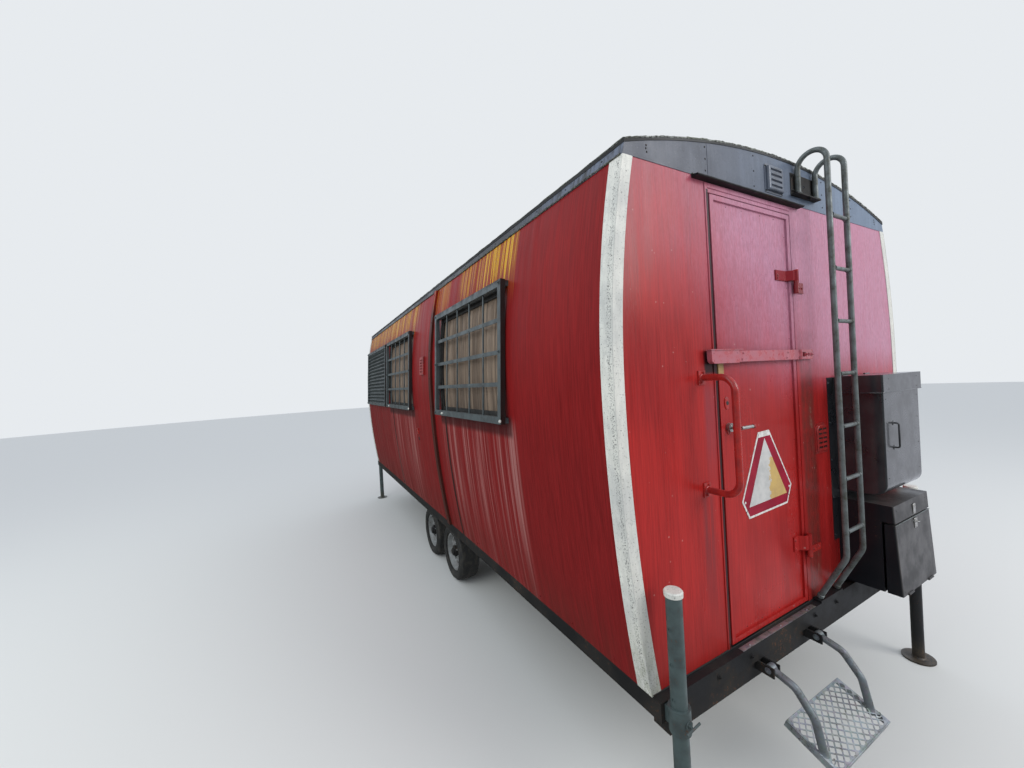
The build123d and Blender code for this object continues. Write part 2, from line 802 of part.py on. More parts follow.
def makeSecurityBar():
    barY = yRear - barStandOff
    top = barBottom + barHeight
    low, high = tongueEnds()
    bar = block(barLeft, hingeX - barEndGap, barY - barDepth, barY, barBottom, top)
    bar += block(hingeX - barEndGap - 1, hingeX, barY - barDepth, barY, low, high)
    bar += rod((hingeX, pinY, low), (hingeX, pinY, high), knuckleRadius)
    bar -= rod((hingeX, pinY, low - 1), (hingeX, pinY, high + 1), hingePinRadius + hingeClearance)
    middle = (barBottom + top) / 2
    for x in barStudPlaces:
        bar += block(x - barStudWidth / 2, x + barStudWidth / 2, barY, yRear + doorPanelRecess,
                     middle - barStudHeight / 2, middle + barStudHeight / 2)
    return bar + makeLockBox()


def makeLockBox():
    # a hood of bent sheet over the padlock, open to the right and to the door
    t = lockBoxWall
    high = lockBoxBottom + lockBoxHeight
    front = yRear - lockBoxFront
    back = yRear - lockBoxBack
    shell = block(lockBoxLeft, lockBoxRight, front, back, lockBoxBottom, high)
    hollow = block(lockBoxLeft + t, lockBoxRight + t, front + t, back + t, lockBoxBottom + t, high - t)

    def roundCorner(shape, rounding):
        corner = shape.edges().filter_by(Axis.Y).group_by(Axis.Z)[0].sort_by(Axis.X)[0]
        return fillet(corner, rounding)
    shell = roundCorner(shell, lockBoxRound) - roundCorner(hollow, lockBoxRound - t)
    plate = block(lockBoxLeft - lockPlateLeft, lockBoxRight + lockPlateRight, front - lockPlateFront, back,
                  high - t, high)
    return shell + plate


def makeLever():
    rose = rod((leverX, yRear + doorPanelRecess, leverHeight),
               (leverX, yRear - leverRoseFront, leverHeight), leverRose)
    neck = rod((leverX, yRear, leverHeight), (leverX, yRear - leverStandOff, leverHeight), leverRadius)
    arm = rod((leverX, yRear - leverStandOff, leverHeight),
              (leverX + leverLength, yRear - leverStandOff, leverHeight), leverRadius)
    return rose + neck + arm


def makeTriangle():
    half = triangleBaseWidth / 2
    outline = [
        (-triangleTopWidth / 2, triangleHeight), (triangleTopWidth / 2, triangleHeight),
        (half, triangleFootHeight), (triangleFootWidth / 2, 0),
        (-triangleFootWidth / 2, 0), (-half, triangleFootHeight),
    ]
    back = yRear + doorPanelRecess
    return Pos(triangleCentreX, back, triangleBottom) * Rot(0, -triangleTilt, 0) * (
        prism(outline, "y", -triangleThickness, 0))


def makeRainRail():
    foot = rainRailHeight - rainRailDrop
    section = [(yRear, foot), (yRear - rainRailDepth, foot),
               (yRear - rainRailDepth, foot + rainRailNose), (yRear, rainRailHeight + rainRailRise)]
    return prism(section, "x", rainRailLeft, rainRailRight)


def makeGrabHandle():
    points = [
        (handleX, yRear - flangeThickness, handleTop),
        (handleX, yRear - handleStandOff, handleTop),
        (handleX, yRear - handleStandOff, handleBottom),
        (handleX, yRear - flangeThickness, handleBottom),
    ]
    handle = tube(points, handleBend, handleTube)
    for z in (handleTop, handleBottom):
        handle += block(handleX - flangeWidth / 2, handleX + flangeWidth / 2, yRear - flangeThickness, yRear,
                        z - flangeHeight / 2, z + flangeHeight / 2)
    return handle


def ladderSides():
    return (ladderLeft, ladderLeft + ladderSpacing)


def makeLadderRail(x):
    # up from the foot, over the roof's edge and back down to the bracket on the wall
    yRail = yRear - ladderStandOff
    yHook = yRear - ladderHookReach
    hookRadius = (ladderStandOff - ladderHookReach) / 2
    apex = ladderHookTop + hookRadius
    points = [(x, yRear - ladderFootReach, ladderFoot), (x, yRail, ladderBend), (x, yRail, apex),
              (x, yHook, apex), (x, yHook, ladderHookFoot)]
    return tube(points, [ladderBendRadius, hookRadius - 0.5, hookRadius - 0.5], ladderTube)


def makeLadderRails():
    return Compound(children=[makeLadderRail(x) for x in ladderSides()])


def makeLadderRungs():
    y = yRear - ladderStandOff
    left, right = ladderSides()
    rungs = []
    for i in range(rungCount):
        z = rungFirst + i * rungPitch
        rung = rod((left, y, z), (right, y, z), rungDiameter / 2)
        for x in (left, right):
            rung -= rod((x, y, z - 40), (x, y, z + 40), ladderTube / 2)
        rungs.append(rung)
    return Compound(children=rungs)


def makeLadderBrackets():
    left, right = ladderSides()
    wallFace = yRear - sheetThickness
    plate = block(left - ladderPlateLeft, right + ladderPlateRight, wallFace - ladderPlate, wallFace,
                  ladderHookFoot - ladderShelf, ladderHookFoot - ladderShelf + ladderPlateHeight)
    plate += block(left - ladderPlateLeft, right + ladderPlateRight, yRear - ladderShelfReach, wallFace,
                   ladderHookFoot - ladderShelf, ladderHookFoot)
    holeZ = ladderHookFoot + ladderPlateHeight / 2
    plate -= rod(((left + right) / 2, wallFace - cutSpare, holeZ), ((left + right) / 2, wallFace + 1, holeZ),
                 ladderPlateHole)
    lean = math.atan2(ladderStandOff - ladderFootReach, ladderBend - ladderFoot)
    top = ladderFoot - ladderTube / 2 * math.sin(lean) - ladderSeatGap
    seat = block(left - ladderSeatMargin, right + ladderSeatMargin, yRear - sillStandOut, yRear,
                 wallBottom, top)
    return Compound(children=[plate, seat])


# boxes

def boxHinges(left, right):
    return (left + boxHingeInset, right - boxHingeInset)


def fixedKnuckles(x):
    # the two end knuckles of a box hinge, as start and end along X
    return [sorted((x + s * (boxKnuckleHalf + boxHingeGap), x + s * boxHingeHalf)) for s in (-1, 1)]


def frontUprights(shape):
    return shape.edges().filter_by(Axis.X, reverse=True).group_by(Axis.Y)[0]


def roundedCase(x0, x1, y0, y1, z0, z1, bottomRound, edgeRound):
    # a block with a well rounded front bottom edge and rounded upright edges
    case = block(x0, x1, y0, y1, z0, z1)
    case = fillet(case.edges().filter_by(Axis.X).group_by(Axis.Z)[0].sort_by(Axis.Y)[0], bottomRound)
    uprights = case.edges().filter_by(Axis.Z).group_by(Axis.Y)[0]
    return fillet(uprights, edgeRound)


def makeUpperBox():
    y1 = yRear - boxGap
    y0 = yRear - upperBoxDepth
    top = upperBoxTop - lidClearance - boxSheet
    body = roundedCase(upperBoxLeft, upperBoxRight, y0, y1, upperBoxBottom, top, upperBoxRound, boxRound)
    body -= roundedCase(upperBoxLeft + boxSheet, upperBoxRight - boxSheet, y0 + boxSheet, y1 - boxSheet,
                        upperBoxBottom + boxSheet, top + boxRound, upperBoxRound - boxSheet, boxRoundInside)
    body += block(backPlateLeft, backPlateRight, yRear - boxGap, yRear, backPlateBottom, backPlateTop)
    lineY = yRear - lidHingeReach
    for x in boxHinges(upperBoxLeft, upperBoxRight):
        body += rod((x - boxHingeHalf, lineY, upperBoxTop), (x + boxHingeHalf, lineY, upperBoxTop),
                    boxPinRadius)
        for a, b in fixedKnuckles(x):
            body += rod((a, lineY, upperBoxTop), (b, lineY, upperBoxTop), boxKnuckleRadius)
            body += block(a, b, lineY, y1, top - boxHingeLeaf, upperBoxTop)
    return body


def makeUpperLid():
    lineY = yRear - lidHingeReach
    y0 = yRear - upperBoxDepth - upperLidFront
    left = upperBoxLeft - upperLidSide
    right = upperBoxRight + upperLidSide
    low = upperBoxTop - upperLidHeight
    lid = block(left, right, y0, lineY, low, upperBoxTop)
    lid = fillet(lid.edges().filter_by(Axis.Z).group_by(Axis.Y)[0], boxRound)
    hollow = block(left + boxSheet, right - boxSheet, y0 + boxSheet, lineY + boxRound, low - boxRound,
                   upperBoxTop - boxSheet)
    lid -= fillet(hollow.edges().filter_by(Axis.Z).group_by(Axis.Y)[0], boxRoundInside)
    reach = boxKnuckleRadius + boxHingeGap
    for x in boxHinges(upperBoxLeft, upperBoxRight):
        lid -= block(x - boxHingeHalf - boxHingeGap, x + boxHingeHalf + boxHingeGap, lineY - reach,
                     lineY + 1, upperBoxTop - reach, upperBoxTop + 1)
        lid += rod((x - boxKnuckleHalf, lineY, upperBoxTop), (x + boxKnuckleHalf, lineY, upperBoxTop),
                   boxKnuckleRadius)
        lid += block(x - boxKnuckleHalf, x + boxKnuckleHalf, lineY - boxHingeLeaf, lineY,
                     upperBoxTop - boxSheet, upperBoxTop)
        lid -= rod((x - boxHingeHalf, lineY, upperBoxTop), (x + boxHingeHalf, lineY, upperBoxTop),
                   boxPinRadius + pinClearance)
    return lid


def lowerFrontY(z):
    share = (z - lowerBoxBottom) / (lowerBoxTop - lowerBoxBottom)
    return yRear - lowerBoxDepthBottom + share * (lowerBoxDepthBottom - lowerBoxDepthTop)


def makeLowerBox():
    y1 = yRear - boxGap
    s = boxSheet
    outline = [(y1, lowerBoxBottom), (lowerFrontY(lowerBoxBottom), lowerBoxBottom),
               (lowerFrontY(lowerBoxTop), lowerBoxTop), (y1, lowerBoxTop)]
    body = prism(outline, "x", lowerBoxLeft, lowerBoxRight)
    body = fillet(frontUprights(body), boxRound)
    inner = [(y1 - s, lowerBoxBottom + s), (lowerFrontY(lowerBoxBottom) + s, lowerBoxBottom + s),
             (lowerFrontY(lowerBoxTop) + s, lowerBoxTop - s), (y1 - s, lowerBoxTop - s)]
    hollow = prism(inner, "x", lowerBoxLeft + s, lowerBoxRight - s)
    body -= fillet(frontUprights(hollow), boxRoundInside)
    floorEdge = yRear - lowerBoxDepthTop + flapReturn
    body -= block(lowerBoxLeft - 1, lowerBoxRight + 1, yRear - lowerBoxDepthBottom - cutSpare, floorEdge,
                  lowerBoxBottom - 1, lowerBoxTop - lowerCollar)
    body += block(lowerBoxLeft, lowerBoxRight, y1, yRear, lowerBoxBottom, backPlateBottom)
    lineY = lowerFrontY(lowerBoxBottom)
    for x in boxHinges(lowerBoxLeft, lowerBoxRight):
        body += rod((x - boxHingeHalf, lineY, lowerBoxBottom), (x + boxHingeHalf, lineY, lowerBoxBottom),
                    boxPinRadius)
        for a, b in fixedKnuckles(x):
            body += rod((a, lineY, lowerBoxBottom), (b, lineY, lowerBoxBottom), boxKnuckleRadius)
            body += block(a, b, lineY, floorEdge, lowerBoxBottom - boxKnuckleRadius,
                          lowerBoxBottom - pinClearance)
            body += block(a, b, floorEdge, floorEdge + boxHingeStrap, lowerBoxBottom - boxKnuckleRadius,
                          lowerBoxBottom + boxSheet)
    return body


def makeLowerFlap():
    low = lowerBoxBottom
    high = lowerBoxTop - lowerCollar - flapClearance
    t = flapThickness
    back = yRear - lowerBoxDepthTop + flapReturn - flapClearance
    outline = [(back, low), (lowerFrontY(low), low), (lowerFrontY(high), high), (back, high)]
    flap = prism(outline, "x", lowerBoxLeft, lowerBoxRight)
    flap = fillet(frontUprights(flap), boxRound)
    hollow = [(back + t, low + t), (lowerFrontY(low) + t, low + t), (lowerFrontY(high) + t, high - t),
              (back + t, high - t)]
    inside = prism(hollow, "x", lowerBoxLeft + t, lowerBoxRight - t)
    flap -= fillet(frontUprights(inside), boxRoundInside)
    lineY = lowerFrontY(low)
    reach = boxKnuckleRadius + boxHingeGap
    for x in boxHinges(lowerBoxLeft, lowerBoxRight):
        flap -= block(x - boxHingeHalf - boxHingeGap, x + boxHingeHalf + boxHingeGap, lineY - 1,
                      lineY + reach, low - 1, low + reach)
        flap += rod((x - boxKnuckleHalf, lineY, low), (x + boxKnuckleHalf, lineY, low), boxKnuckleRadius)
        flap += block(x - boxKnuckleHalf, x + boxKnuckleHalf, lineY + 1, lineY + t, low, low + boxHingeLeaf)
        flap -= rod((x - boxHingeHalf, lineY, low), (x + boxHingeHalf, lineY, low),
                    boxPinRadius + pinClearance)
    return flap


# chassis

def channel(y0, y1, x, openTo, z0, z1, width):
    # openTo is the side of its web that the channel opens to, 1 for right
    outer = x - openTo * width / 2
    inner = outer + openTo * channelWeb
    web = block(min(outer, inner), max(outer, inner), y0, y1, z0, z1)
    low = block(x - width / 2, x + width / 2, y0, y1, z0, z0 + channelWeb)
    high = block(x - width / 2, x + width / 2, y0, y1, z1 - channelWeb, z1)
    return web + low + high


def makeSideSills():
    inside = sillHalfWidth - sillWidth
    right = channel(yRear + wallThickness, yFront - wallThickness, inside + sillWidth / 2, -1,
                    sillBottom, wallBottom, sillWidth)
    return Compound(children=[right, leftSide(right)])


def makeEndSills():
    rear = block(-sillHalfWidth, sillHalfWidth, yRear - sillStandOut, yRear + wallThickness,
                 sillBottom, wallBottom)
    front = block(-sillHalfWidth, sillHalfWidth, yFront - wallThickness, yFront + sillStandOut,
                  sillBottom, wallBottom)
    return Compound(children=[rear, front])


def makeChassisRails():
    y0 = yRear + wallThickness
    y1 = yFront - wallThickness
    right = channel(y0, y1, railX, -1, railBottom, railTop, railWidth)
    return Compound(children=[right, leftSide(right)])


def makeCrossMembers():
    inside = sillHalfWidth - sillWidth
    members = []
    for place in crossPlaces:
        y = yRear + place
        members.append(block(-inside, inside, y - crossWidth / 2, y + crossWidth / 2,
                             crossBottom, floorBottom))
    return Compound(children=members)


def makeRearBeam():
    # lies under the rear sill and carries the entry step
    inside = sillHalfWidth - sillWidth
    beam = block(-inside, inside, yRear - rearBeamOut, yRear + wallThickness - rearBeamGap,
                 sillBottom - rearBeamHeight, sillBottom)
    return beam + stepBrackets()


def makeFloor():
    inside = sideX(wallBottom, wallThickness) - floorGap
    slab = block(-inside, inside, yRear + wallThickness, yFront - wallThickness, wallBottom, floorTop)
    low = sillHalfWidth - sillWidth
    slab += block(-low, low, yRear + wallThickness, yFront - wallThickness, floorBottom, wallBottom)
    return slab


# running gear

def wheelPlaces():
    places = []
    for axle, place in axlePlaces.items():
        for side, sign in (("left", -1), ("right", 1)):
            places.append((axle + "_" + side, sign, yRear + place))
    return places


def makeTyre(sign, y):
    half = tyreWidth / 2
    r = wheelRadius
    outline = [
        (half * 0.78, rimRadius + 2), (half * 0.95, rimRadius + 25), (half, (r + rimRadius) / 2 + 8),
        (half * 0.93, r - 18), (half * 0.8, r - 4), (0, r),
    ]
    points = outline + [(-a, b) for a, b in reversed(outline[:-1])]
    face = Face(Wire.make_polygon([Vector(a, 0, b) for a, b in points], close=True))
    tyre = revolve(face, axis=Axis.X)
    return Pos(sign * wheelX, y, wheelRadius) * tyre


def makeRim(sign, y):
    half = tyreWidth / 2 * 0.8
    r = rimRadius
    dish = half * 0.45
    outline = [
        (-half, r + 1.5), (-half, r - 12), (-half * 0.55, r - 18), (dish - 6, r - 26), (dish - 6, 80),
        (dish + 6, 70), (dish + 6, hubRadius + 14), (dish - 4, hubRadius + hubClearance),
        (dish + 6, hubRadius + hubClearance), (dish + 16, hubRadius + 14), (dish + 16, 74),
        (dish + 4, 86), (dish + 4, r - 22), (half, r - 12), (half, r + 1.5), (half - 8, r + 1.5),
        (half - 10, r - 4), (-half + 10, r - 4), (-half + 8, r + 1.5),
    ]
    face = Face(Wire.make_polygon([Vector(a, 0, b) for a, b in outline], close=True))
    rim = revolve(face, axis=Axis.X)
    for i in range(rimHoleCount):
        angle = 2 * math.pi * i / rimHoleCount
        rim -= Pos(dish, rimHoleCircle * math.cos(angle), rimHoleCircle * math.sin(angle)) * (
            Rot(0, 90, 0) * Cylinder(rimHoleRadius, dish * 2))
    if sign < 0:
        rim = mirror(rim, about=Plane.YZ)
    return Pos(sign * wheelX, y, wheelRadius) * rim


def makeAxle(y):
    beamY = y + axleBeamLead
    half = axleBeam / 2
    reach = wheelX - tyreWidth / 2 - axleSpare
    arm = [(beamY + swingArmHead, axleBeamHeight + swingArmHead),
           (beamY - swingArmHead, axleBeamHeight + swingArmHead),
           (y - swingArmToe, wheelRadius + swingArmToe), (y - swingArmToe, wheelRadius - swingArmToe),
           (y + swingArmToe, wheelRadius - swingArmToe),
           (beamY + swingArmHead, axleBeamHeight - swingArmHead)]
    inside = reach - swingArmThickness
    axle = block(-inside, inside, beamY - half, beamY + half, axleBeamHeight - half, axleBeamHeight + half)
    for sign in (-1, 1):
        start = sign * reach
        hubStart = sign * (wheelX - hubInside)
        axle += prism(arm, "x", min(start, sign * inside), max(start, sign * inside))
        axle += rod((start, y, wheelRadius), (sign * wheelX, y, wheelRadius), stubRadius)
        axle += rod((hubStart, y, wheelRadius), (sign * (wheelX + hubOutside), y, wheelRadius), hubRadius)
        axle += rod((start, y, wheelRadius), (hubStart, y, wheelRadius), drumRadius)
        axle += block(sign * railX - axleSeatHalf[0], sign * railX + axleSeatHalf[0],
                      beamY - axleSeatHalf[1], beamY + axleSeatHalf[1], axleBeamHeight + half, railBottom)
    return axle


# front end

def makeDrawbar():
    tip = yFront + drawbarLength - eyeShank - eyeOuter / 2
    z0 = railBottom
    z1 = railBottom + drawbarHeight
    root = yFront - drawbarRoot
    outer = railX - railWidth / 2 - drawbarGap
    inner = railX - railWidth / 2 - drawbarWidth
    frame = block(-drawbarTieHalf, drawbarTieHalf, yFront + drawbarTie[0], yFront + drawbarTie[1], z0, z1)
    frame += block(-outer, outer, root, root + drawbarRearTie, z0, z1)
    for sign in (-1, 1):
        outline = [
            (sign * outer, root), (sign * outer, yFront), (sign * drawbarNeck / 2, tip), (0, tip),
            (0, tip - drawbarCrotch), (sign * inner, yFront - drawbarBend), (sign * inner, root),
        ]
        frame += prism(outline, "z", z0, z1)
    return frame


def makeTowEye():
    y = yFront + drawbarLength
    z = railBottom + drawbarHeight / 2
    start = y - eyeOuter / 2 - eyeShank
    eye = Pos(0, y, z) * Cylinder(eyeOuter / 2, eyeThickness)
    eye += block(-eyeShankHalf, eyeShankHalf, start, y, z - eyeShankHalf, z + eyeShankHalf)
    eye += block(-drawbarNeck / 2, drawbarNeck / 2, start, start + eyeFlange, z - eyeFlangeHalf,
                 z + eyeFlangeHalf)
    for low, high in ((z + eyeThickness / 2, z + eyeShoulder), (z - eyeShoulder, z - eyeThickness / 2)):
        eye -= block(-eyeShoulder, eyeShoulder, y - eyeOuter / 2, y + eyeOuter, low, high)
    return eye - Pos(0, y, z) * Cylinder(eyeBore / 2, 2 * eyeShoulder)


def makeJack():
    y = yFront + jackPlace
    low = railBottom - jackDrop
    plate = railBottom + drawbarHeight
    arm = jackTop + crankRise
    jack = block(-jackPlateWidth / 2, jackPlateWidth / 2, y - jackPlateHalf, y + jackPlateHalf,
                 plate, plate + jackPlateThickness)
    jack += rod((0, y, low), (0, y, jackTop), jackTube / 2)
    jack += rod((0, y, jackFootThickness), (0, y, low), jackInner / 2)
    jack += block(-jackFoot / 2, jackFoot / 2, y - jackFoot / 2, y + jackFoot / 2, 0, jackFootThickness)
    jack += rod((0, y, jackTop), (0, y, arm), crankHub)
    jack += rod((-crankHub, y, arm), (crankReach, y, arm), crankRadius)
    jack += rod((crankReach, y, arm - crankRadius), (crankReach, y, arm + crankHandle), crankRadius)
    return jack


def makeLegs():
    legs = []
    clampZ = (sillBottom + wallBottom) / 2
    for sx in (-1, 1):
        for yEnd, out in ((yRear, -1), (yFront, 1)):
            x = sx * legX
            y = yEnd + out * legReach
            near = yEnd + out * sillStandOut
            leg = rod((x, y, 0), (x, y, legTop), legTube / 2)
            leg -= rod((x, y, legFootThickness), (x, y, legTop + 1), legTube / 2 - legWall)
            leg += rod((x, y, 0), (x, y, legFootThickness), legFoot / 2)
            clamp = rod((x, y, clampZ - legClampHeight / 2), (x, y, clampZ + legClampHeight / 2),
                        legTube / 2 + legClampWall)
            clamp -= rod((x, y, 0), (x, y, legTop), legTube / 2)
            arm = block(x - legArmHalf[0], x + legArmHalf[0], min(near, y), max(near, y),
                        clampZ - legArmHalf[1], clampZ + legArmHalf[1])
            arm -= rod((x, y, 0), (x, y, legTop), legTube / 2 + legClampWall - 1)
            legs.append(leg + clamp + arm)
    return Compound(children=legs)


# entry step

def stepPoint(share, drop=0.0):
    # a place on the tread: 0 at its back edge, 1 at its front edge
    y = yRear - stepBackReach - share * stepDepth * math.cos(stepTiltRad)
    z = stepBackHeight - share * stepDepth * math.sin(stepTiltRad) - drop
    return y, z


def makeTread():
    width = stepRight - stepLeft
    frame = Box(width, stepDepth, stepBar) - Box(width - 2 * stepBarThickness,
                                                 stepDepth - 2 * stepBarThickness, 2 * stepBar)
    sheet = Rectangle(width - 2, stepDepth - 2)
    cells = []
    along = int(width / meshPitchAlong) + 1
    across = int(stepDepth / meshPitchAcross) + 1
    hole = Polygon((meshPitchAlong / 2 - meshStrand, 0), (0, meshPitchAcross / 2 - meshStrand / 2),
                   (-meshPitchAlong / 2 + meshStrand, 0), (0, -meshPitchAcross / 2 + meshStrand / 2),
                   align=None)
    window = Rectangle(width - 4 * stepBarThickness, stepDepth - 4 * stepBarThickness)
    for i in range(-along, along + 1):
        for j in range(-across, across + 1):
            if (i + j) % 2:
                continue
            cells.append(Pos(i * meshPitchAlong / 2, j * meshPitchAcross / 2) * hole)
    cells = [c & window for c in cells]
    cells = [c for c in cells if c and c.area > meshLeastArea]
    sheet -= cells
    return frame + Pos(0, 0, stepBar / 2 - meshThickness) * extrude(sheet, amount=meshThickness)


def makeStep():
    y, z = stepPoint(0.5)
    plane = Plane(origin=((stepLeft + stepRight) / 2, y, z), x_dir=(1, 0, 0),
                  z_dir=(0, -math.sin(stepTiltRad), math.cos(stepTiltRad)))
    step = plane * makeTread()
    pivotY = yRear - stepPivotReach
    endY, endZ = stepPoint(stepArmShare, stepArmDrop)
    half = stepTube / 2
    for x in (stepLeft + stepArmInset, stepRight - stepArmInset):
        bends = [(x, pivotY - reach, stepPivotHeight - drop) for reach, drop in stepArmBends]
        points = [(x, pivotY, stepPivotHeight)] + bends + [(x, endY, endZ)]
        step += tube(points, [stepArmRadius] * len(bends), stepTube)
        step += rod((x - half, pivotY, stepPivotHeight), (x + half, pivotY, stepPivotHeight),
                    half + stepEyeWall)
        step -= rod((x - stepTube, pivotY, stepPivotHeight), (x + stepTube, pivotY, stepPivotHeight),
                    stepPinRadius + hingeClearance)
    return step


def stepBrackets():
    # two cheeks on each side hold the step's pins under the rear sill
    pivotY = yRear - stepPivotReach
    brackets = []
    for x in (stepLeft + stepArmInset, stepRight - stepArmInset):
        for sign in (-1, 1):
            near = x + sign * (stepTube / 2 + stepCheekGap)
            far = near + sign * stepCheek
            brackets.append(block(min(near, far), max(near, far), pivotY - stepCheekHalf,
                                  yRear - rearBeamOut, stepPivotHeight - stepCheekHalf, sillBottom))
        half = stepTube / 2 + stepCheekGap + stepCheek
        brackets.append(rod((x - half, pivotY, stepPivotHeight), (x + half, pivotY, stepPivotHeight),
                            stepPinRadius))
    return brackets


os.makedirs("parts", exist_ok=True)

sideWall = makeSideWall()
grilles = makeGrilles()
save("wall_right", sideWall)
save("wall_left", leftSide(sideWall))
save("wall_rear", makeRearWall())
save("wall_front", makeFrontWall())
save("roof", makeRoof())
save("roof_fascia", makeFascia())
save("corner_strips", makeCornerStrips())
save("side_battens", makeBattens())
save("window_grilles_right", Compound(children=grilles))
save("window_grilles_left", Compound(children=[leftSide(g) for g in grilles]))
save("louvre_panel", leftSide(makeLouvrePanel()))
save("window_frames", makeWindowFrames())
save("window_boards", makeWindowBoards())
save("vents", makeVents())
save("rear_door", makeDoor())
save("door_frame", makeDoorFrame())
save("hinge_mounts", makeHingeMounts())
save("security_bar", makeSecurityBar())
save("door_lever", makeLever())
save("warning_triangle", makeTriangle())
save("rain_rail", makeRainRail())
save("grab_handle", makeGrabHandle())
save("ladder_rails", makeLadderRails())
save("ladder_rungs", makeLadderRungs())
save("ladder_brackets", makeLadderBrackets())
save("upper_box", makeUpperBox())
save("upper_box_lid", makeUpperLid())
save("lower_box", makeLowerBox())
save("lower_box_flap", makeLowerFlap())
save("side_sills", makeSideSills())
save("end_sills", makeEndSills())
save("chassis_rails", makeChassisRails())
save("cross_members", makeCrossMembers())
save("rear_beam", makeRearBeam())
save("floor", makeFloor())
for name, place in axlePlaces.items():
    save("axle_" + name, makeAxle(yRear + place))
for name, sign, y in wheelPlaces():
    save("tyre_" + name, makeTyre(sign, y))
    save("rim_" + name, makeRim(sign, y))
save("drawbar", makeDrawbar())
save("tow_eye", makeTowEye())
save("drawbar_jack", makeJack())
save("support_legs", makeLegs())
save("entry_step", makeStep())
print("rear wall at", round(yRear, 2), "upper radius", round(upperRadius), "lower radius",
      round(lowerRadius), "roof radius", round(roofRadius))
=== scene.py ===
import bpy
import bmesh
import math
import random
from mathutils import Vector, Matrix


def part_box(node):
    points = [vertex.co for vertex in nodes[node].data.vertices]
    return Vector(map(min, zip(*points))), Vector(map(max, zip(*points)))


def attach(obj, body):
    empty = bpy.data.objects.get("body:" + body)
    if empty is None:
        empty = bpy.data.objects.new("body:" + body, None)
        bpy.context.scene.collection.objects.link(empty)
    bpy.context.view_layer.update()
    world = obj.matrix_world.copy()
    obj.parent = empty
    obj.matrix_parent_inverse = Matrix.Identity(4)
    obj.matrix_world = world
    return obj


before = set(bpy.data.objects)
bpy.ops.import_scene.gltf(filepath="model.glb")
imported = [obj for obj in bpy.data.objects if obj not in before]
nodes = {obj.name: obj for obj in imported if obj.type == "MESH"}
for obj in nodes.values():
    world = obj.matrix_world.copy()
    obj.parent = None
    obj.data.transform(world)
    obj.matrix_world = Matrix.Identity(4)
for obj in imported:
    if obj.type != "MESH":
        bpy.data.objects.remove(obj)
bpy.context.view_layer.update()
bpy.context.scene.view_settings.view_transform = "Standard"

# the outer faces of the body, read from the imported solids
wallLow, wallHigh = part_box("wall_rear")
frontLow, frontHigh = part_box("wall_front")
yRear, yFront = wallLow.y, frontHigh.y
beltX, wallFoot = wallHigh.x, wallLow.z
bothEnds = ((yRear, -1), (yFront, 1))
bothSides = ((-1, "left"), (1, "right"))
body = {"beltZ": 1.85, "eaveX": 1.13, "eaveZ": 2.809, "sillX": 1.145, "crownZ": 2.97, "fasciaZ": 2.744,
        "sheet": 0.0025}


def arcRadius(rise, tuck):
    return (rise * rise + tuck * tuck) / (2 * tuck)


upperRadius = arcRadius(body["eaveZ"] - body["beltZ"], beltX - body["eaveX"])
lowerRadius = arcRadius(body["beltZ"] - wallFoot, beltX - body["sillX"])
roofRadius = arcRadius(body["eaveX"], body["crownZ"] - body["eaveZ"])


def sideX(z):
    radius = upperRadius if z >= body["beltZ"] else lowerRadius
    return beltX - radius + math.sqrt(radius ** 2 - (z - body["beltZ"]) ** 2)


def sideNormal(z):
    radius = upperRadius if z >= body["beltZ"] else lowerRadius
    rise = (z - body["beltZ"]) / radius
    return Vector((math.sqrt(1 - rise * rise), 0, rise))


def roofZ(x):
    return body["crownZ"] - roofRadius + math.sqrt(roofRadius ** 2 - x * x)


# camera at the photograph's place, behind the left rear corner
lens = {"x": -2.272, "behind": 1.10, "z": 1.90, "yaw": 0.4943, "pitch": -0.0063, "roll": -0.0558,
        "pixels": 393.03, "width": 1024, "sensor": 36}
forward = Vector((math.sin(lens["yaw"]) * math.cos(lens["pitch"]),
                  math.cos(lens["yaw"]) * math.cos(lens["pitch"]), math.sin(lens["pitch"])))
level = Vector((math.cos(lens["yaw"]), -math.sin(lens["yaw"]), 0))
right = level * math.cos(lens["roll"]) + level.cross(forward) * math.sin(lens["roll"])
up = right.cross(forward)
cameraData = bpy.data.cameras.new("photo_camera")
cameraData.sensor_width = lens["sensor"]
cameraData.lens = lens["sensor"] * lens["pixels"] / lens["width"]
camera = bpy.data.objects.new("photo_camera", cameraData)
bpy.context.scene.collection.objects.link(camera)
turn = Matrix((right, up, -forward)).transposed().to_4x4()
camera.matrix_world = Matrix.Translation((lens["x"], yRear - lens["behind"], lens["z"])) @ turn
bpy.context.scene.camera = camera
print("camera placed")


# materials

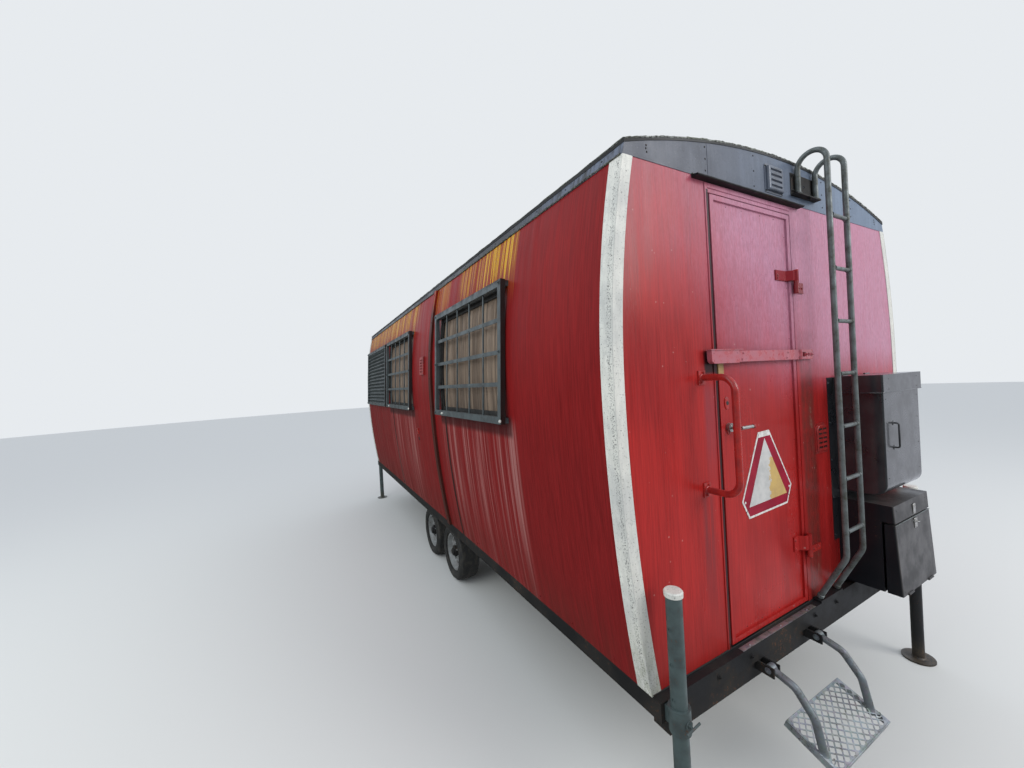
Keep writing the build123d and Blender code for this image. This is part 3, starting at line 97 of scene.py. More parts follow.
class Graph:
    def __init__(self, name, roughness=0.5, metallic=0.0, coat=0.0, coatRough=0.1, specular=0.5):
        self.material = bpy.data.materials.new(name)
        self.material.use_nodes = True
        self.tree = self.material.node_tree
        self.shader = self.tree.nodes["Principled BSDF"]
        for key, value in (("Roughness", roughness), ("Metallic", metallic), ("Coat Weight", coat),
                           ("Coat Roughness", coatRough), ("Specular IOR Level", specular)):
            self.shader.inputs[key].default_value = value
        self.place = self.tree.nodes.new("ShaderNodeTexCoord").outputs["Object"]
        self.x, self.y, self.z = self.node("SeparateXYZ", {0: self.place}).outputs

    def link(self, value, socket):
        if hasattr(value, "is_output"):
            self.tree.links.new(value, socket)
        elif hasattr(value, "__len__") and len(value) == 3 and len(socket.default_value) == 4:
            socket.default_value = (*value, 1.0)
        else:
            socket.default_value = value

    def node(self, kind, inputs):
        # inputs maps the name or number of a socket to its value or to another node's output
        made = self.tree.nodes.new("ShaderNode" + kind)
        for key, value in inputs.items():
            self.link(value, made.inputs[key])
        return made

    def math(self, operation, a, b=0.0):
        made = self.node("Math", {0: a, 1: b})
        made.operation = operation
        return made.outputs[0]

    def noise(self, scale, detail=3.0, rough=0.55, stretch=(1, 1, 1), shift=(0, 0, 0)):
        place = self.node("Mapping", {"Vector": self.place, "Scale": stretch, "Location": shift}).outputs[0]
        return self.node("TexNoise", {"Vector": place, "Scale": scale, "Detail": detail,
                                      "Roughness": rough}).outputs["Fac"]

    def cells(self, scale, feature="F1"):
        made = self.node("TexVoronoi", {"Vector": self.place, "Scale": scale})
        made.feature = feature
        return made.outputs

    def span(self, value, low, high, start=0.0, end=1.0):
        made = self.node("MapRange", {0: value, 1: low, 2: high, 3: start, 4: end})
        made.interpolation_type = "SMOOTHSTEP"
        return made.outputs[0]

    def band(self, value, low, high, soft):
        return self.times(self.span(value, low - soft, low + soft),
                          self.span(value, high - soft, high + soft, 1.0, 0.0))

    def mix(self, share, a, b, blend="MIX"):
        made = self.tree.nodes.new("ShaderNodeMix")
        made.data_type = "RGBA"
        made.blend_type = blend
        for number, value in ((0, share), (6, a), (7, b)):
            self.link(value, made.inputs[number])
        return made.outputs[2]

    def times(self, *values):
        total = values[0]
        for value in values[1:]:
            total = self.math("MULTIPLY", total, value)
        return total

    def most(self, *values):
        total = values[0]
        for value in values[1:]:
            total = self.math("MAXIMUM", total, value)
        return total

    def sway(self, value, noise, reach):
        # moves a value up and down by a noise between 0 and 1
        return self.math("ADD", value, self.times(self.math("SUBTRACT", noise, 0.5), reach))

    def along(self):
        # metres ahead of the rear wall
        return self.math("SUBTRACT", self.y, yRear)

    def pastEnds(self, margin):
        middle = self.math("ABSOLUTE", self.math("SUBTRACT", self.y, (yRear + yFront) / 2))
        return self.math("GREATER_THAN", middle, (yFront - yRear) / 2 + margin)

    def pastSides(self, limit):
        return self.math("GREATER_THAN", self.math("ABSOLUTE", self.x), limit)

    def blend(self, cloud, a, b):
        return self.mix(self.span(cloud, 0.35, 0.7), a, b)

    def stain(self, colour, tint, *masks):
        return self.mix(self.times(*masks), colour, tint)

    def shade(self, colour, amount, strength):
        # darkens or lightens the colour around its middle by a noise between 0 and 1
        factor = self.span(amount, 0.25, 0.75, 1.0 - strength, 1.0 + strength)
        made = self.tree.nodes.new("ShaderNodeVectorMath")
        made.operation = "SCALE"
        self.link(colour, made.inputs[0])
        self.link(factor, made.inputs["Scale"])
        return made.outputs[0]

    def bump(self, height, strength, distance):
        made = self.node("Bump", {"Strength": strength, "Distance": distance, "Height": height})
        self.link(made.outputs[0], self.shader.inputs["Normal"])

    def finish(self, colour, cloud=None, low=0.0, high=1.0):
        # the roughness wanders between low and high with the cloud
        self.link(colour, self.shader.inputs["Base Color"])
        if cloud is not None:
            self.link(self.span(cloud, 0.3, 0.7, low, high), self.shader.inputs["Roughness"])
        return self.material


def redBase(g, across):
    # brushed paint over narrow upright grooves; across is the stretch over X and over Y
    fibre = g.noise(1.0, 3, 0.6, (across[0] * 210, across[1] * 210, 5.5))
    broad = g.noise(1.0, 4, 0.6, (across[0] * 14, across[1] * 14, 1.1))
    colour = g.blend(g.noise(1.7, 3, 0.5), (0.330, 0.015, 0.013), (0.255, 0.012, 0.012))
    colour = g.shade(g.shade(colour, fibre, 0.18), broad, 0.12)
    g.bump(fibre, 0.22, 0.0014)
    return colour, broad, fibre


def faded(g, colour, shift, low, high):
    # the paint has gone pale and mauve towards the top and the right, in soft uneven clouds
    slant = g.math("ADD", g.z, g.times(g.x, 0.62))
    height = g.sway(slant, g.noise(2.2, 4, 0.55), 0.5)
    fine = g.noise(1.0, 4, 0.6, (120, 120, 16))
    share = g.times(g.span(height, 1.36 - shift, 2.50 - shift), g.span(g.z, low, high),
                    g.span(g.x, -1.0, -0.3, 0.40, 1.0), g.span(fine, 0.2, 0.7, 0.72, 1.0),
                    g.span(g.y, yRear - 0.0058, yRear - 0.0050))
    leaf = g.times(g.band(g.x, -0.1335, 0.03, 0.0003), g.band(g.z, 2.3375, 2.3895, 0.0003),
                   g.span(g.y, yRear + 0.012, yRear + 0.010))
    share = g.times(share, g.span(leaf, 0.4, 0.6, 1.0, 0.0))
    colour = g.stain(colour, (0.190, 0.010, 0.018), leaf, 0.8)
    pale = g.shade((0.43, 0.200, 0.285), g.noise(1.0, 3, 0.6, (150, 150, 45)), 0.16)
    return g.mix(share, colour, pale)


def flecks(g, colour, scale, amount, tint):
    spots = g.span(g.cells(scale)["Distance"], 0.10, 0.17, 1.0, 0.0)
    return g.stain(colour, tint, spots, g.span(g.noise(scale * 0.6, 2), 0.60, 0.66), amount)


endLook = {"roughness": 0.36, "coat": 0.06, "coatRough": 0.15, "specular": 0.16}


def redEnd():
    g = Graph("red_end_wall", **endLook)
    colour, broad = redBase(g, (1, 1))[:2]
    runs = g.noise(1.0, 4, 0.65, (46, 46, 0.8))
    mottle = g.noise(26, 5, 0.7)
    atRear = g.span(g.y, 0.5, -0.5)
    # brown growth between door and ladder, dirt that runs down from the vent and the handle
    colour = g.stain(colour, (0.105, 0.022, 0.018), atRear, g.band(g.x, 0.040, 0.165, 0.018),
                     g.span(g.z, 2.2, 1.75), g.span(runs, 0.22, 0.55, 0.35, 1.0),
                     g.span(mottle, 0.25, 0.60, 0.5, 1.0), 0.85)
    colour = g.stain(colour, (0.24, 0.17, 0.12), atRear, g.band(g.x, 0.118, 0.142, 0.008),
                     g.span(g.z, 1.9, 1.5), g.span(broad, 0.42, 0.60), g.span(mottle, 0.52, 0.58), 0.75)
    colour = g.stain(colour, (0.055, 0.030, 0.035), atRear, g.band(g.x, -0.79, -0.72, 0.02),
                     g.span(g.z, 1.40, 1.34), g.span(g.z, 0.75, 1.2), g.span(runs, 0.35, 0.6), 0.5)
    colour = g.stain(colour, (0.215, 0.042, 0.054), atRear, g.band(g.x, -0.745, -0.660, 0.016),
                     g.span(g.z, 1.88, 1.80), g.span(g.z, 1.30, 1.70), g.span(runs, 0.25, 0.55, 0.45, 1.0), 0.55)
    colour = faded(g, colour, 0.0, 1.70, 2.02)
    # a near-black patch behind the bar's end, and painted shade in the open joint beside the door
    barEndDark = g.times(atRear, g.band(g.x, -0.730, -0.645, 0.008), g.band(g.z, 1.885, 1.985, 0.012))
    joint = g.times(atRear, g.band(g.x, -0.6655, -0.6455, 0.0008), g.span(g.z, 2.700, 2.695))
    colour = g.stain(colour, (0.012, 0.008, 0.009), g.most(barEndDark, joint), 0.92)
    colour = g.stain(colour, (0.14, 0.018, 0.014), g.span(g.z, 1.0, 0.66), g.span(broad, 0.3, 0.6), 0.35)
    colour = flecks(g, colour, 34, 0.28, (0.55, 0.40, 0.36))
    return g.finish(colour, broad, 0.24, 0.42)


def redDoor():
    g = Graph("red_door", **endLook)
    colour, broad = redBase(g, (1, 1))[:2]
    colour = faded(g, colour, 0.12, 1.62, 2.0)
    # the ochre patch under the bar's end, and the wetter paint below the bar
    colour = g.stain(colour, (0.36, 0.27, 0.11), g.band(g.x, -0.645, -0.585, 0.004),
                     g.band(g.z, 1.872, 1.93, 0.004), g.math("LESS_THAN", g.y, yRear + 0.012), 0.8)
    colour = g.stain(colour, (0.20, 0.02, 0.02), g.span(g.z, 1.94, 1.60), g.span(g.z, 1.3, 1.75),
                     g.span(broad, 0.40, 0.62), 0.35)
    colour = flecks(g, colour, 28, 0.35, (0.50, 0.30, 0.28))
    return g.finish(colour, g.noise(3.0, 4, 0.6), 0.24, 0.40)


def redSide():
    g = Graph("red_side_wall", roughness=0.58, specular=0.08)
    colour, broad, fibre = redBase(g, (0.002, 1))
    # painted shade: the side wall's red is darker than the end wall's, most towards the foot
    shadedSideRed = g.shade((0.175, 0.0095, 0.0105), fibre, 0.26)
    colour = g.mix(g.span(g.z, 1.3, 2.5, 0.92, 0.62), colour, shadedSideRed)
    along = g.along()
    streak = g.noise(1.0, 3, 0.55, (0.3, 13, 0.25), (3, 1, 0))
    fine = g.noise(1.0, 3, 0.6, (0.3, 55, 0.5))
    # old yellow paint shows in long drips below the eave, most on the left side
    wander = g.sway(along, streak, 0.3)
    where = g.most(g.band(wander, 0.86, 1.25, 0.03), g.times(g.band(wander, 1.2, 1.7, 0.06), 0.5),
                   g.times(g.band(wander, 1.9, 2.26, 0.03), 0.35), g.span(wander, 2.7, 3.1, 0.0, 0.95))
    where = g.times(where, g.span(g.x, -0.2, 0.2, 1.0, 0.4))
    colour = g.stain(colour, (0.29, 0.070, 0.018), where,
                     g.times(g.span(g.z, 2.30, 2.55), g.span(streak, 0.35, 0.6, 0.25, 0.85)), 0.8)
    reach = g.span(g.math("ADD", g.z, g.times(fine, 1.1)), 3.10, 3.22)
    colour = g.stain(colour, (0.58, 0.32, 0.020), where, reach, g.span(fine, 0.48, 0.55), 0.95)
    # chalky runs below each window
    below = g.times(g.span(g.z, 1.72, 1.60), g.span(g.z, 0.70, 1.25, 0.35, 1.0))
    under = g.most(g.band(along, 0.80, 2.05, 0.05), g.band(along, 2.95, 4.2, 0.05))
    colour = g.stain(colour, (0.46, 0.24, 0.22), below, under, g.span(fine, 0.44, 0.66),
                     g.span(streak, 0.3, 0.6), 0.55)
    # panel joints, then painted shade and dirt under the grilles, the batten's worn end and splashes at the foot
    for joint in (1.972, 4.02):
        colour = g.stain(colour, (0.014, 0.009, 0.008), g.band(along, joint - 0.018, joint + 0.018, 0.004),
                         g.span(g.z, 1.75, 1.6), 0.95)
    # painted shade and dirt in a band under each grille
    colour = g.stain(colour, (0.040, 0.009, 0.010), g.band(g.z, 1.585, 1.70, 0.02),
                     g.most(g.band(along, 0.83, 2.08, 0.02), g.band(along, 2.93, 4.21, 0.02)), 0.75)
    colour = g.stain(colour, (0.040, 0.020, 0.015), g.band(along, 2.259, 2.321, 0.0005),
                     g.span(g.z, 2.68, 2.50), g.span(broad, 0.25, 0.6, 0.6, 1.0), 0.9)
    colour = g.stain(colour, (0.085, 0.022, 0.016), g.span(g.z, 1.05, 0.66), g.span(broad, 0.35, 0.65), 0.4)
    colour = flecks(g, colour, 30, 0.45, (0.10, 0.02, 0.015))
    return g.finish(colour, broad, 0.30, 0.50)


def redSteel():
    g = Graph("red_steel_parts", roughness=0.32, coat=0.3, coatRough=0.08, specular=0.3)
    blotch = g.noise(22, 4, 0.6)
    colour = g.blend(blotch, (0.36, 0.022, 0.018), (0.23, 0.014, 0.014))
    # the bar across the door has faded, the upper hinge is deep red
    colour = g.stain(colour, (0.42, 0.150, 0.190), g.band(g.z, 1.925, 1.990, 0.004),
                     g.span(g.x, -0.75, -0.74), g.span(blotch, 0.3, 0.6, 0.35, 0.7))
    colour = g.stain(colour, (0.190, 0.010, 0.018), g.band(g.z, 2.27, 2.40, 0.003), 0.8)
    colour = g.stain(colour, (0.07, 0.022, 0.010), g.span(g.noise(160, 3, 0.6), 0.62, 0.70),
                     g.span(blotch, 0.5, 0.65), 0.8)
    g.bump(g.noise(60, 3), 0.12, 0.001)
    return g.finish(colour, blotch, 0.22, 0.42)


def whitePaint():
    g = Graph("white_corner_paint", roughness=0.5)
    fine = g.noise(1.0, 4, 0.65, (70, 70, 14))
    cloud = g.noise(6, 4, 0.6)
    colour = g.shade(g.blend(cloud, (0.68, 0.67, 0.61), (0.54, 0.54, 0.51)), fine, 0.10)
    # dark specks, thickest in a line beside the fold, and dirt at the foot
    along = g.along()
    nearFold = g.most(g.band(along, 0.006, 0.030, 0.006), g.span(g.z, 1.1, 0.66, 0.0, 0.45))
    specks = g.math("GREATER_THAN", g.noise(190, 3, 0.6), g.span(nearFold, 0.0, 1.0, 0.64, 0.555))
    colour = g.mix(g.span(along, 0.001, 0.006, 0.22, 0.0), colour, (0.28, 0.28, 0.26))
    colour = g.stain(colour, (0.10, 0.10, 0.095), specks, 0.75)
    colour = g.stain(colour, (0.22, 0.23, 0.15), g.span(g.z, 1.1, 0.7), g.span(fine, 0.35, 0.6), 0.5)
    g.bump(fine, 0.2, 0.0012)
    return g.finish(colour, cloud, 0.42, 0.62)


def bandSheet():
    # dark blue-grey paint with a painted sky reflection: bluer and lighter on the ends and near the rear of the
    # sides, nearly black further along the sides
    g = Graph("blue_black_sheet", roughness=0.4, coat=0.05, coatRough=0.2, specular=0.28)
    cloud = g.noise(4.5, 4, 0.6)
    runs = g.noise(1.0, 4, 0.6, (38, 38, 3))
    along = g.along()
    bright = g.blend(cloud, (0.066, 0.074, 0.100), (0.048, 0.054, 0.074))
    # painted sky reflection, brightest and bluest towards the right of the ends
    bright = g.mix(g.span(g.x, -0.9, 0.7), bright, (0.125, 0.165, 0.232))
    dull = g.blend(cloud, (0.022, 0.023, 0.028), (0.038, 0.044, 0.056))
    # painted sky reflection on the sides near the rear
    dull = g.stain(dull, (0.11, 0.13, 0.18), g.span(along, 1.3, 0.0), g.span(runs, 0.35, 0.6))
    colour = g.shade(g.mix(g.pastEnds(0.001), dull, bright), runs, 0.12)
    colour = g.stain(colour, (0.022, 0.023, 0.027), g.span(g.noise(110, 4, 0.7), 0.58, 0.66), 0.7)
    colour = g.stain(colour, (0.16, 0.17, 0.18), g.span(g.noise(150, 3, 0.6), 0.62, 0.70), 0.5)
    g.bump(g.noise(9, 3), 0.25, 0.004)
    # painted shade: the sides darken further from the rear, where less sky is reflected
    colour = g.stain(colour, (0.016, 0.016, 0.018), g.pastSides(1.08), g.span(along, 0.5, 1.0, 0.0, 0.8))
    return g.finish(colour, cloud, 0.28, 0.48)


def roofSheet():
    g = Graph("roof_sheet", roughness=0.65, specular=0.3)
    cloud = g.noise(1.6, 5, 0.62)
    speck = g.noise(38, 4, 0.65)
    colour = g.blend(cloud, (0.058, 0.066, 0.082), (0.095, 0.10, 0.105))
    moss = g.times(g.span(speck, 0.55, 0.68), g.span(cloud, 0.45, 0.65))
    colour = g.stain(colour, (0.050, 0.060, 0.022), moss, 0.7)
    edges = g.most(g.pastEnds(0.003), g.pastSides(body["eaveX"] + 0.002))
    colour = g.mix(edges, colour, (0.020, 0.020, 0.021))
    g.bump(speck, 0.25, 0.002)
    return g.finish(colour, cloud, 0.45, 0.75)


def greyBlack():
    # thin old black paint with upright wear marks, its grey-brown partly the paint's own colour and partly a
    # painted sheen, black at the box's ends
    g = Graph("grey_black_box", roughness=0.42, coat=0.1, coatRough=0.2, specular=0.3)
    cloud = g.noise(7, 4, 0.6)
    rubs = g.noise(1.0, 4, 0.65, (75, 75, 9))
    colour = g.shade(g.blend(cloud, (0.050, 0.046, 0.044), (0.030, 0.029, 0.030)), rubs, 0.25)
    low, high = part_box("lower_box")
    colour = g.mix(g.band(g.x, low.x + 0.002, high.x - 0.002, 0.001), (0.008, 0.009, 0.012), colour)
    colour = g.stain(colour, (0.085, 0.040, 0.020), g.span(g.noise(110, 4, 0.65), 0.62, 0.69),
                     g.span(cloud, 0.5, 0.64), 0.7)
    g.bump(rubs, 0.1, 0.001)
    return g.finish(colour, cloud, 0.28, 0.5)


def feltRoll():
    # torn roofing felt with pale grit and moss
    g = Graph("felt_and_moss", roughness=0.9)
    grit = g.noise(150, 3, 0.6)
    colour = g.mix(g.span(g.noise(9, 4, 0.65), 0.4, 0.65), (0.020, 0.019, 0.019), (0.055, 0.060, 0.034))
    colour = g.stain(colour, (0.44, 0.46, 0.43), g.span(grit, 0.48, 0.56),
                     g.span(g.z, body["eaveZ"] + 0.01, body["eaveZ"] + 0.03, 0.3, 0.9))
    g.bump(grit, 0.5, 0.002)
    return g.finish(colour)


def spangled(g, colour, cloud, scale):
    return g.mix(0.12, colour, g.cells(scale)["Color"], "SOFT_LIGHT")


def stepUnder(g, colour, cloud):
    # the two arms, which stand above the slope of the tread, are duller than the tread
    colour = spangled(g, colour, cloud, 60)
    slope = g.math("SUBTRACT", g.z, g.times(g.along(), 0.376))
    return g.mix(g.span(slope, 0.440, 0.456, 0.0, 0.62), colour, (0.070, 0.080, 0.088))


def zincUnder(g, colour, cloud):
    return spangled(g, colour, cloud, 55)


def ladderOver(g, colour, cloud, speck):
    # bare chips in the clean places
    return g.stain(colour, (0.26, 0.27, 0.27), g.span(speck, 0.66, 0.70), g.span(cloud, 0.45, 0.55, 1.0, 0.0), 0.7)


def legUnder(g, colour, cloud):
    # green-grey on three legs, black on the right rear one
    return g.stain(colour, (0.016, 0.016, 0.018), g.span(g.x, 0.2, 0.3), g.span(g.y, 0.1, 0.0))


def legOver(g, colour, cloud, speck):
    # earth on every foot
    return g.stain(colour, (0.085, 0.062, 0.038), g.span(g.z, 0.16, 0.02), g.span(speck, 0.3, 0.6), 0.7)


def ventUnder(g, colour, cloud):
    # the upper covers are painted with the band, the others with the walls
    blue = g.blend(cloud, (0.088, 0.105, 0.140), (0.055, 0.066, 0.090))
    return g.mix(g.math("GREATER_THAN", g.z, body["fasciaZ"]), colour, blue)


def grilleOver(g, colour, cloud, speck):
    # painted shade, near black, on the frames' rear edges, and dirt along their tops
    along = g.along()
    edges = [g.span(g.math("ABSOLUTE", g.math("SUBTRACT", along, place)), 0.0022, 0.0008)
             for place in (0.860, 2.960, 4.260)]
    dirt = g.times(g.span(g.z, 2.455, 2.478), g.span(cloud, 0.35, 0.6), 0.8)
    return g.mix(g.most(*edges, dirt), colour, (0.016, 0.013, 0.012))


# Steel that wears in two tones of cloud, with rust or dirt where specks and clouds meet. Each row: its
# shader, the cloud noise, the speck noise, two tones, the limits of specks and clouds, how strong the
# wear is and its tint, the roughness from and to, bump and what is painted before and after the wear.
wornSteels = {
    "black_steel": {"shader": {"roughness": 0.34, "coat": 0.7, "coatRough": 0.12}, "cloud": (9, 4, 0.6),
                    "speck": 120, "tones": ((0.012, 0.013, 0.017), (0.024, 0.025, 0.028)),
                    "specks": (0.62, 0.69), "clouds": (0.5, 0.64), "wear": 0.75, "tint": (0.075, 0.030, 0.014),
                    "rough": (0.24, 0.46), "bump": (0.12, 0.001)},
    "ladder_steel": {"shader": {"roughness": 0.48, "metallic": 0.25}, "cloud": (16, 4, 0.6),
                     "speck": 95, "tones": ((0.130, 0.148, 0.150), (0.072, 0.080, 0.076)),
                     "specks": (0.50, 0.62), "clouds": (0.42, 0.6), "wear": 0.75, "tint": (0.052, 0.050, 0.028),
                     "rough": (0.36, 0.6), "bump": (0.2, 0.0008), "over": ladderOver},
    "step_steel": {"shader": {"roughness": 0.45, "metallic": 0.4}, "cloud": (15, 4, 0.6),
                   "speck": 100, "tones": ((0.34, 0.37, 0.39), (0.19, 0.205, 0.215)),
                   "specks": (0.52, 0.64), "clouds": (0.42, 0.6), "wear": 0.8, "tint": (0.060, 0.058, 0.034),
                   "rough": (0.34, 0.58), "bump": (0.15, 0.0008), "under": stepUnder},
    "leg_paint": {"shader": {"roughness": 0.5}, "cloud": (12, 4, 0.6),
                  "speck": 100, "tones": ((0.062, 0.088, 0.088), (0.038, 0.050, 0.050)),
                  "specks": (0.58, 0.66), "clouds": (0.46, 0.62), "wear": 0.8, "tint": (0.10, 0.040, 0.018),
                  "rough": (0.36, 0.6), "bump": (0.15, 0.0008), "under": legUnder, "over": legOver},
    "vent_paint": {"shader": {"roughness": 0.36, "coat": 0.12, "coatRough": 0.15}, "cloud": (12, 4, 0.6),
                   "speck": 140, "tones": ((0.30, 0.018, 0.016), (0.20, 0.012, 0.012)),
                   "specks": (0.55, 0.66), "clouds": (0.42, 0.6), "wear": 0.7, "tint": (0.055, 0.030, 0.020),
                   "rough": (0.28, 0.48), "bump": (0.15, 0.0008), "under": ventUnder},
    "chassis_black": {"shader": {"roughness": 0.6, "specular": 0.25}, "cloud": (5, 5, 0.62),
                      "speck": 70, "tones": ((0.010, 0.010, 0.011), (0.024, 0.021, 0.018)),
                      "specks": (0.56, 0.66), "clouds": (0.46, 0.62), "wear": 0.8, "tint": (0.095, 0.040, 0.018),
                      "rough": (0.50, 0.8), "bump": (0.2, 0.0015)},
    "galvanised_steel": {"shader": {"roughness": 0.45, "metallic": 0.75}, "cloud": (14, 4, 0.6),
                         "speck": 90, "tones": ((0.30, 0.31, 0.32), (0.16, 0.165, 0.165)),
                         "specks": (0.52, 0.64), "clouds": (0.42, 0.6), "wear": 0.75,
                         "tint": (0.070, 0.062, 0.042), "rough": (0.34, 0.58), "bump": (0.15, 0.0008),
                         "under": zincUnder},
    "grille_blue_grey": {"shader": {"roughness": 0.42}, "cloud": (11, 4, 0.6),
                         "speck": 110, "tones": ((0.072, 0.088, 0.092), (0.046, 0.055, 0.058)),
                         "specks": (0.60, 0.68), "clouds": (0.46, 0.62), "wear": 0.8,
                         "tint": (0.10, 0.038, 0.018), "rough": (0.32, 0.55), "bump": (0.15, 0.0008),
                         "over": grilleOver},
    "rim_silver_paint": {"shader": {"roughness": 0.42, "metallic": 0.35}, "cloud": (18, 4, 0.6),
                         "speck": 95, "tones": ((0.34, 0.35, 0.35), (0.24, 0.24, 0.235)),
                         "specks": (0.58, 0.66), "clouds": (0.45, 0.6), "wear": 0.85,
                         "tint": (0.13, 0.050, 0.022), "rough": (0.32, 0.55)},
}


def wornSteel(name):
    look = wornSteels[name]
    g = Graph(name, **look["shader"])
    cloud = g.noise(*look["cloud"])
    speck = g.noise(look["speck"], 4, 0.65)
    colour = g.blend(cloud, *look["tones"])
    if "under" in look:
        colour = look["under"](g, colour, cloud)
    colour = g.stain(colour, look["tint"], g.span(speck, *look["specks"]), g.span(cloud, *look["clouds"]),
                     look["wear"])
    if "over" in look:
        colour = look["over"](g, colour, cloud, speck)
    if "bump" in look:
        g.bump(speck, *look["bump"])
    return g.finish(colour, cloud, *look["rough"])


def boardWood():
    g = Graph("stained_boards", roughness=0.65)
    grain = g.noise(1.0, 5, 0.65, (90, 90, 3.2))
    wide = g.noise(1.0, 4, 0.6, (16, 16, 0.8), (2, 0, 0))
    colour = g.mix(g.span(wide, 0.32, 0.7), (0.225, 0.160, 0.110), (0.120, 0.080, 0.052))
    # eight upright boards a window, with dark joints between them
    joint = g.math("PINGPONG", g.math("SUBTRACT", g.y, yRear + 0.895), 0.07188)
    colour = g.mix(g.span(joint, 0.0035, 0.0015), colour, (0.018, 0.012, 0.009))
    colour = g.shade(colour, grain, 0.30)
    colour = g.stain(colour, (0.050, 0.030, 0.020), g.span(g.z, 1.95, 1.72), g.span(wide, 0.35, 0.6), 0.5)
    g.bump(grain, 0.35, 0.0015)
    return g.finish(colour, wide, 0.55, 0.75)


def floorWood():
    g = Graph("floor_plywood", roughness=0.7)
    grain = g.noise(1.0, 5, 0.65, (60, 3, 60))
    g.bump(grain, 0.2, 0.001)
    return g.finish(g.shade((0.20, 0.155, 0.105), grain, 0.3))


def tyreRubber():
    g = Graph("tyre_rubber", roughness=0.8)
    dust = g.noise(24, 4, 0.65)
    g.bump(g.noise(260, 2), 0.2, 0.0006)
    return g.finish(g.mix(g.span(dust, 0.4, 0.7), (0.016, 0.016, 0.016), (0.052, 0.047, 0.040)), dust, 0.68, 0.88)


def brightSteel():
    g = Graph("worn_bright_steel", roughness=0.3, metallic=0.9)
    cloud = g.noise(40, 4, 0.6)
    return g.finish(g.blend(cloud, (0.50, 0.49, 0.47), (0.30, 0.29, 0.27)), cloud, 0.22, 0.42)


def signRed():
    g = Graph("sign_crimson", roughness=0.4, specular=0.2)
    g.bump(g.cells(260, "DISTANCE_TO_EDGE")["Distance"], 0.1, 0.0004)
    return g.finish(g.mix(g.span(g.noise(12, 3), 0.3, 0.7), (0.29, 0.006, 0.026), (0.21, 0.005, 0.020)))


def signCentre():
    # white with an ochre patch whose edge has peeled
    g = Graph("sign_centre", roughness=0.42)
    ragged = g.noise(42, 4, 0.65)
    cloud = g.noise(16, 4, 0.6)
    peeled = g.times(g.span(g.sway(g.x, ragged, 0.11), -0.272, -0.268),
                     g.span(g.sway(g.z, ragged, 0.08), 1.462, 1.456))
    white = g.blend(cloud, (0.52, 0.51, 0.49), (0.40, 0.40, 0.39))
    return g.finish(g.mix(peeled, white, g.blend(cloud, (0.52, 0.35, 0.115), (0.44, 0.29, 0.11))))


def twoTones(name, roughness, noise, a, b):
    g = Graph(name, roughness=roughness)
    return g.finish(g.blend(g.noise(*noise), a, b))


finishes = {
    "redEnd": redEnd(), "redDoor": redDoor(), "redSide": redSide(), "redSteel": redSteel(),
    "white": whitePaint(), "band": bandSheet(), "roof": roofSheet(), "black": wornSteel("black_steel"),
    "chassis": wornSteel("chassis_black"), "zinc": wornSteel("galvanised_steel"),
    "grille": wornSteel("grille_blue_grey"), "boards": boardWood(), "plywood": floorWood(),
    "tyre": tyreRubber(), "rim": wornSteel("rim_silver_paint"), "bright": brightSteel(),
    "signRed": signRed(), "signCentre": signCentre(), "felt": feltRoll(), "greyBlack": greyBlack(),
    "ladder": wornSteel("ladder_steel"), "stepZinc": wornSteel("step_steel"),
    "leg": wornSteel("leg_paint"), "vent": wornSteel("vent_paint"),
    "signWhite": twoTones("sign_white_edge", 0.4, (60, 3), (0.66, 0.65, 0.62), (0.48, 0.45, 0.42)),
    "rubber": twoTones("black_rubber", 0.6, (30, 3), (0.012, 0.012, 0.012), (0.03, 0.028, 0.024)),
    "seal": twoTones("old_door_seal", 0.5, (1.0, 4, 0.6, (60, 60, 8)), (0.24, 0.12, 0.10), (0.13, 0.055, 0.050)),
}
nodesOfFinish = {
    "redEnd": "wall_rear wall_front door_frame", "redSide": "wall_left wall_right side_battens",
    "redSteel": "hinge_mounts grab_handle security_bar", "redDoor": "rear_door", "roof": "roof",
    "band": "roof_fascia", "white": "corner_strips", "rubber": "window_frames", "boards": "window_boards",
    "grille": "window_grilles_left window_grilles_right louvre_panel", "vent": "vents",
    "chassis": "rain_rail ladder_brackets side_sills end_sills chassis_rails cross_members rear_beam "
               "axle_front axle_rear drawbar",
    "ladder": "ladder_rails ladder_rungs", "black": "upper_box upper_box_lid", "plywood": "floor",
    "greyBlack": "lower_box lower_box_flap", "bright": "tow_eye door_lever", "zinc": "drawbar_jack",
    "leg": "support_legs", "signWhite": "warning_triangle", "stepZinc": "entry_step",
}
finishOfNode = {name: finish for finish, names in nodesOfFinish.items() for name in names.split()}
for name, node in nodes.items():
    finish = finishOfNode.get(name) or ("tyre" if name.startswith("tyre") else "rim")
    node.data.materials.clear()
    node.data.materials.append(finishes[finish])
print("materials made")


# mesh helpers

def makePiece(name, mesh, finish, bodyName="wagon"):
    bmesh.ops.recalc_face_normals(mesh, faces=list(mesh.faces))
    data = bpy.data.meshes.new(name)
    mesh.to_mesh(data)
    mesh.free()
    piece = bpy.data.objects.new(name, data)
    bpy.context.scene.collection.objects.link(piece)
    data.materials.append(finishes[finish])
    data.shade_smooth()
    data.set_sharp_from_angle(angle=math.radians(38))
    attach(piece, bodyName)


def standing(place, axis):
    # turns a mesh made along Z so that it stands on a place along an axis
    return Matrix.Translation(place) @ Vector(axis).to_track_quat("Z", "Y").to_matrix().to_4x4()


def onRear(x, z, out=0.0):
    return Vector((x, yRear - out, z))


def onSide(sign, along, z, out=0.0):
    # a place on the barrel side, along metres ahead of the rear wall
    place = Vector((sideX(z), yRear + along, z)) + sideNormal(z) * out
    return Vector((sign * place.x, place.y, place.z))


def outwards(sign, z):
    normal = sideNormal(z)
    return Vector((sign * normal.x, 0, normal.z))


